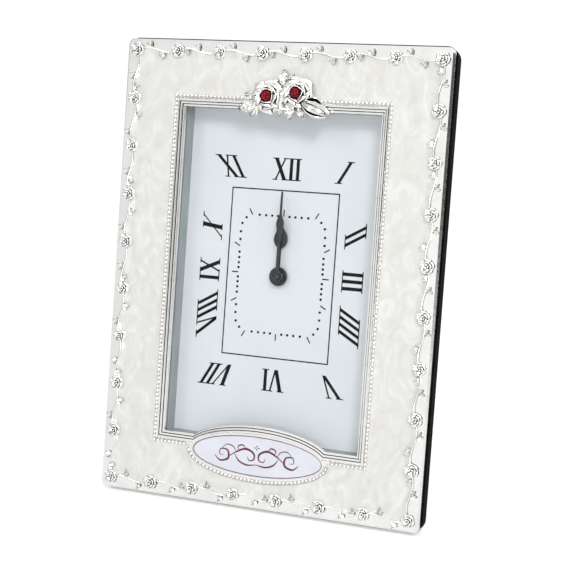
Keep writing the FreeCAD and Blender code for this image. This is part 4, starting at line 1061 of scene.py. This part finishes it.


# The walls between the glass and the dial are strips of card, bent round the opening and held by the
# backing frame. Their dark grey-blue is partly the card's own colour and partly painted shade of the recess.
card = patterned(
    new_finish("card_grey_and_painted_shade", (0.42, 0.47, 0.48), 0.62),
    (6.0, 4.0, 0.0, (1.0, 0.3, 1.0)), ((0.30, (0.335, 0.375, 0.385)), (0.70, (0.420, 0.460, 0.470))),
    (1.0,), (0.50, 0.72), (0.35, 2.0), 0.02,
)
dress(card, "spacer_walls")


# The dial is a printed sheet on the movement's side of the window: a pale blue-white ground with a
# thin frame line, a minute track of round dots on a rounded rectangle, short hour marks and Roman
# hours that stand on the dial's edges and lean along the rays of the hours.
dial_front = -11.8
dial_middle = Vector((0.5, 0.9))
dial_ground = patterned(
    new_finish("dial_ground", (0.74, 0.78, 0.80), 0.55),
    (34.0,), ((0.30, (0.785, 0.825, 0.850)), (0.70, (0.835, 0.865, 0.890))),
    (2.5,), (0.45, 0.62), (0.5, 2.0), 0.008,
)
dress(dial_ground, "dial_plate")
dial_ink = ink("dial_ink", (0.006, 0.007, 0.009), (0.014, 0.015, 0.018), 5.0, Specular_IOR_Level=0.12)

track_half_width = 21.15
track_half_height = 27.4
track_corner = 6.8
dot_radius = 0.62
mark_length = 3.2
mark_half = 0.29
line_half = 0.3
print_thickness = 0.04


def track_reach(turn):
    """How far the rounded rectangle of the minute track is from the middle along a ray."""
    way = Vector((sin(turn), cos(turn)))
    low = 0.0
    high = hypot(track_half_width, track_half_height)
    for _ in range(40):
        reach = (low + high) / 2
        x = abs(way.x) * reach
        y = abs(way.y) * reach
        over_x = max(0.0, x - (track_half_width - track_corner))
        over_y = max(0.0, y - (track_half_height - track_corner))
        inside = x <= track_half_width and y <= track_half_height and hypot(over_x, over_y) <= track_corner
        if inside:
            low = reach
        else:
            high = reach
    return low


start_clean()
track_outlines = []
for minute in range(60):
    turn = minute * tau / 60
    way = Vector((sin(turn), cos(turn)))
    side = Vector((way.y, -way.x))
    spot = dial_middle + way * track_reach(turn)
    if minute % 5:
        dot = [Vector((cos(tau * k / 12), sin(tau * k / 12))) * dot_radius for k in range(12)]
        track_outlines.append([spot + edge for edge in dot])
    else:
        far = spot + way * mark_length
        aside = side * mark_half
        track_outlines.append([spot - aside, far - aside, far + aside, spot + aside])
frame_half_width = 26.71
frame_half_height = 39.08
frame_middle = dial_middle + Vector((0.0, 0.26))
for half_length, half_width, middle in (
    (frame_half_width + line_half, line_half, frame_middle + Vector((0, frame_half_height))),
    (frame_half_width + line_half, line_half, frame_middle - Vector((0, frame_half_height))),
    (line_half, frame_half_height - line_half, frame_middle + Vector((frame_half_width, 0))),
    (line_half, frame_half_height - line_half, frame_middle - Vector((frame_half_width, 0))),
):
    track_outlines.append(
        [middle + Vector((half_length * i, half_width * j)) for i, j in ((-1, -1), (1, -1), (1, 1), (-1, 1))]
    )
track = flat_print("minute_track", track_outlines, dial_front, print_thickness)
stand(track, "clock_body", dial_ink)

# Each numeral is drawn upright in a box 10.3 high, y from 0 at its feet, and then laid in its place.
numeral_height = 10.3
serif_height = 0.50
stem_half = 0.80
thin_half = 0.40


def foot_serif(x, y, half=1.75):
    """A thin serif under or over a stroke."""
    return [(x - half, y), (x + half, y), (x + half, y + serif_height), (x - half, y + serif_height)]


def slanting_stroke(low_x, high_x, half):
    """A slanting stroke from its foot to its top."""
    top = numeral_height
    return [(low_x - half, 0), (low_x + half, 0), (high_x + half, top), (high_x - half, top)]


def upright_stroke(x):
    """The thick stroke of an I with its two serifs."""
    top_serif = foot_serif(x, numeral_height - serif_height)
    return [slanting_stroke(x, x, stem_half), foot_serif(x, 0.0), top_serif]


def letter_five(x):
    """A V: thick left stroke, thin right stroke, meeting at the foot."""
    return [
        slanting_stroke(x + 0.1, x - 2.5, 0.92),
        slanting_stroke(x + 0.45, x + 2.7, thin_half),
        foot_serif(x - 2.6, numeral_height - serif_height, 1.7),
        foot_serif(x + 2.7, numeral_height - serif_height, 1.35),
    ]


def letter_ten(x):
    """An X: thick stroke falling to the right, thin stroke rising."""
    return [
        slanting_stroke(x + 2.3, x - 2.3, 0.96),
        slanting_stroke(x - 2.3, x + 2.3, thin_half),
        foot_serif(x - 2.4, numeral_height - serif_height, 1.55),
        foot_serif(x + 2.5, numeral_height - serif_height, 1.25),
        foot_serif(x - 2.5, 0.0, 1.25),
        foot_serif(x + 2.4, 0.0, 1.55),
    ]


stroke_pitch = 3.3
hour_letters = "I II III IIII V VI VII VIII IX X XI XII".split()
letter_shapes = {"I": upright_stroke, "V": letter_five, "X": letter_ten}
letter_widths = {"I": stroke_pitch, "V": 7.3, "X": 7.5}
near_side = 30.75
near_end = 44.1
start_clean()
numeral_outlines = []
for hour, letters in enumerate(hour_letters, 1):
    whole = sum(letter_widths[letter] for letter in letters)
    across = -whole / 2
    shapes = []
    for letter in letters:
        middle_x = across + letter_widths[letter] / 2
        shapes += letter_shapes[letter](middle_x)
        across += letter_widths[letter]
    turn = hour * tau / 12
    way = Vector((sin(turn), cos(turn)))
    on_end = hour in (11, 12, 1, 5, 6, 7)
    if on_end:
        ahead = Vector((0.0, 1.0 if way.y > 0 else -1.0))
        along = Vector((ahead.y, 0.0))
        near = near_end
        slope = way.x / abs(way.y)
    else:
        ahead = Vector((1.0 if way.x > 0 else -1.0, 0.0))
        along = Vector((0.0, -ahead.x))
        near = near_side
        slope = way.y / abs(way.x)
    drift = Vector((slope, 0.0)) if on_end else Vector((0.0, slope))
    for outline in shapes:
        numeral_outlines.append(
            [dial_middle + ahead * (near + y) + drift * (near + y) + along * x for x, y in outline]
        )
numerals = flat_print("hour_numerals", numeral_outlines, dial_front, print_thickness)
stand(numerals, "clock_body", dial_ink)


# The hands are thin pressed metal with a fine dark grained finish: a spade for the hours and a leaf
# with a long needle for the minutes, each with its boss pressed on its pipe, and a cap on the end.
hub = Vector((0.5, 0.4))
hour_back = -10.2
minute_back = -8.1
hand_thickness = 0.45
boss_height = 0.62
hour_boss_radius = 4.4
minute_boss_radius = 3.0

dark_hand = patterned(
    new_finish("dark_hand", (0.040, 0.041, 0.047), 0.42),
    (0.7, 4.0, 0.4), ((0.34, (0.018, 0.019, 0.022)), (0.68, (0.046, 0.048, 0.054))),
    (0.5,), (0.32, 0.54), (0.32, 3.0), 0.03,
)


def rounded_half_outline(stations, steps=10):
    """Half widths along the hand, rounded off between the given stations."""
    spans = len(stations) - 1
    made = [through(stations, span, step / steps) for span in range(spans) for step in range(steps)]
    return made + [stations[-1]]


def bevelled(piece, width, angle=30.0):
    """Every edge sharper than the angle rounded off."""
    edge = piece.modifiers.new("edge", "BEVEL")
    edge.width = width
    edge.segments = 2
    edge.limit_method = "ANGLE"
    edge.angle_limit = radians(angle)
    apply_all(piece)
    return piece


def pressed_hand(name, stations, boss_radius, back_level):
    """A flat hand cut to its outline, with bevelled edges and a raised round boss with a step."""
    half = rounded_half_outline(stations)
    outline = [Vector((x, y)) for x, y in half] + [Vector((-x, y)) for x, y in reversed(half)]
    bpy.ops.mesh.primitive_circle_add(vertices=len(outline), radius=1.0, fill_type="NGON")
    blade = bpy.context.object
    for point, place in zip(blade.data.vertices, outline):
        point.co = (hub.x + place.x, hub.y + place.y, back_level)
    thickened(blade, hand_thickness, 1.0)
    outward(blade, merged=True)
    if max(point.co.z for point in blade.data.vertices) < back_level + 0.1:
        blade.data.transform(Matrix.Translation((0, 0, hand_thickness)))
    bevelled(blade, 0.10, 55)
    boss = turned_blank(64, boss_radius, boss_height, hub, back_level + boss_height / 2)
    boss_steps = ((0.22, 0.0), (0.12, 0.10), (boss_radius * 0.24, 0.0), (0.12, -0.14))
    stepped_top(boss, hub, back_level + 0.2, boss_steps)
    bevelled(boss, 0.06)
    hand = joined([blade, boss], name)
    smooth(hand, 35.0)
    return hand


start_clean()
hour_hand = pressed_hand(
    "hour_spade_hand",
    ((0.60, 0.0), (0.60, 6.0), (0.60, 11.8), (0.95, 13.2), (2.30, 14.3), (3.35, 16.6), (3.25, 18.6),
     (2.35, 20.6), (1.30, 22.2), (0.55, 24.0), (0.08, 26.0)),
    hour_boss_radius, hour_back,
)
stand(hour_hand, "hour_arbor", dark_hand)
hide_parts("hour_hand")
minute_hand = pressed_hand(
    "minute_leaf_hand",
    ((0.58, 0.0), (0.58, 7.0), (0.60, 13.6), (0.85, 16.0), (1.35, 19.5), (1.45, 21.2), (1.50, 22.2),
     (1.88, 24.3), (1.55, 26.2), (0.85, 27.8), (0.55, 29.4), (0.46, 34.0), (0.42, 38.6), (0.22, 39.4)),
    minute_boss_radius, minute_back,
)
stand(minute_hand, "minute_arbor", dark_hand)
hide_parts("minute_hand")

cap_level = -6.75
cap_radius = 1.7
cap_height = 0.9
hand_cap = turned_blank(48, cap_radius, cap_height, hub, cap_level)
stepped_top(hand_cap, hub, cap_level, ((0.28, 0.12), (0.55, 0.0), (0.08, -0.5)))
bevelled(hand_cap, 0.08)
hand_cap.name = "turned_cap"
smooth(hand_cap, 35.0)
stand(hand_cap, "minute_arbor", dark_hand)
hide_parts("hand_cap")


# The backing frame is board covered in black leathercloth, drawn over the corners and shining a little
# along its edges. The back panel and the strut are board flocked with black velvet.
leathercloth = patterned(
    new_finish("leathercloth", (0.004, 0.004, 0.004), 0.5, Specular_IOR_Level=0.03),
    (5.0, 4.0), ((0.30, (0.002, 0.002, 0.002)), (0.70, (0.006, 0.006, 0.007))),
    (2.0,), (0.55, 0.72),
)
cloth_cells = {"Vector": face_place(leathercloth), "Scale": 1.4}
cloth_pores = wired(leathercloth, "ShaderNodeTexVoronoi", cloth_cells, "Distance", feature="DISTANCE_TO_EDGE")
relief(leathercloth, cloth_pores, 0.12)
dress(leathercloth, "backing_frame")

start_clean()
edge_half_width = 80.15
edge_half_height = 107.25
edge_corner = 4.6
edge_level = -3.05
edge_thickness = 1.05
corner_steps = 8
edge_route = []
for quarter, (side_x, side_y) in enumerate(((1, 1), (-1, 1), (-1, -1), (1, -1))):
    corner = Vector((side_x * (edge_half_width - edge_corner), side_y * (edge_half_height - edge_corner)))
    for step in range(corner_steps + 1):
        turn = pi / 2 * (quarter + step / corner_steps)
        edge_route.append(corner + Vector((cos(turn), sin(turn))) * edge_corner)
cloth_edge = stem("cloth_edge", edge_route, edge_thickness, edge_level)
smooth(cloth_edge, 60.0)
stand(cloth_edge, "clock_body", leathercloth)

velvet = patterned(
    new_finish("velvet", (0.010, 0.010, 0.012), 0.95, Sheen_Weight=0.35, Sheen_Roughness=0.45),
    (11.0, 5.0, 0.8), ((0.30, (0.007, 0.007, 0.009)), (0.70, (0.020, 0.020, 0.023))),
    (3.0,), (0.85, 1.0), (0.22, 2.0), 0.10,
)
dress(velvet, "back_panel", "easel_strut")


# The fittings on the back are bright plated steel: turn-buttons, screws, hinge strap and pin, the
# strut's leaf and the rivets. The battery's springs are nickelled.
def plated_steel(name, pale, dark, brush, *nodes):
    """Plated steel with fine rolling lines along one direction, put on these nodes."""
    made = new_finish(name, pale, 0.3, 1.0)
    drive(made, "Base Color", stops(made, mottle(made, 3.0, 4.0, 0.5), (0.3, dark), (0.7, pale)))
    lines = mottle(made, 0.5, 3.0, 0.0, brush)
    drive(made, "Roughness", between(made, lines, 0.18, 0.40))
    relief(made, lines, 0.02)
    dress(made, *nodes)


plated_steel(
    "fitting_steel", (0.62, 0.62, 0.60), (0.50, 0.50, 0.49), (0.1, 1.0, 1.0),
    "button_screws", "hinge_strap", "strap_rivets", "hinge_pin", "strut_leaf", "leaf_rivets",
    "turn_button_1", "turn_button_2", "turn_button_3", "turn_button_4",
)
plated_steel(
    "spring_nickel", (0.66, 0.64, 0.58), (0.55, 0.53, 0.48), (1.0, 0.1, 1.0),
    "positive_contact", "negative_contact",
)


# The movement's case and knob are moulded black plastic with a fine spark-eroded grain. Its wheels are
# white acetal, its middle plate and chip black, and a ring of foam tape holds it on the dial.
def moulded(name, dark, pale, grain_size, grain_depth, low, high, *nodes):
    """Moulded plastic with an eroded grain, put on these nodes."""
    made = new_finish(name, dark, (low + high) / 2)
    colours = ((0.3, dark), (0.7, pale))
    patterned(made, (7.0, 4.0), colours, (1.5,), (low, high), (grain_size, 2.0), grain_depth)
    dress(made, *nodes)


moulded(
    "case_plastic", (0.012, 0.012, 0.013), (0.022, 0.022, 0.023), 0.30, 0.05, 0.38, 0.55,
    "movement_lid", "movement_case", "middle_plate", "set_knob", "circuit_chip",
)
moulded(
    "gear_acetal", (0.70, 0.70, 0.67), (0.78, 0.78, 0.75), 0.5, 0.015, 0.30, 0.42,
    "hour_wheel", "minute_wheel", "reduction_wheel", "motor_rotor", "set_wheel", "centre_wheel",
    "coil_bobbin",
)
moulded(
    "foam_tape", (0.06, 0.06, 0.065), (0.10, 0.10, 0.11), 0.25, 0.12, 0.80, 0.95,
    "movement_pad",
)


# Inside the case: the brass minute pipe, the rotor's magnet, the iron stator and core, the copper coil,
# the green board with its silver crystal can, and the round cell in its printed sleeve.
plated_steel(
    "pipe_brass", (0.72, 0.52, 0.22), (0.56, 0.39, 0.15), (1.0, 1.0, 0.1),
    "minute_pipe",
)
moulded(
    "magnet_grey", (0.10, 0.10, 0.11), (0.15, 0.15, 0.16), 0.2, 0.03, 0.40, 0.60,
    "rotor_magnet",
)
plated_steel(
    "soft_iron", (0.42, 0.42, 0.43), (0.30, 0.30, 0.32), (0.1, 1.0, 1.0),
    "motor_stator", "coil_core",
)
coil_copper = new_finish("coil_copper", (0.60, 0.22, 0.09), 0.32, 1.0)
coil_lines = {"Vector": face_place(coil_copper), "Scale": 3.0, "Distortion": 0.4}
coil_turns = wired(coil_copper, "ShaderNodeTexWave", coil_lines, "Fac")
coil_colour = stops(coil_copper, coil_turns, (0.1, (0.34, 0.10, 0.04)), (0.8, (0.66, 0.26, 0.11)))
drive(coil_copper, "Base Color", coil_colour)
relief(coil_copper, coil_turns, 0.06)
dress(coil_copper, "coil_winding")
moulded(
    "board_green", (0.02, 0.10, 0.045), (0.03, 0.15, 0.06), 0.4, 0.02, 0.28, 0.45,
    "circuit_board",
)
plated_steel(
    "can_steel", (0.70, 0.70, 0.70), (0.60, 0.60, 0.60), (1.0, 0.1, 1.0),
    "quartz_crystal",
)
moulded(
    "cell_sleeve", (0.10, 0.11, 0.13), (0.16, 0.17, 0.20), 0.6, 0.015, 0.20, 0.34,
    "dry_cell",
)
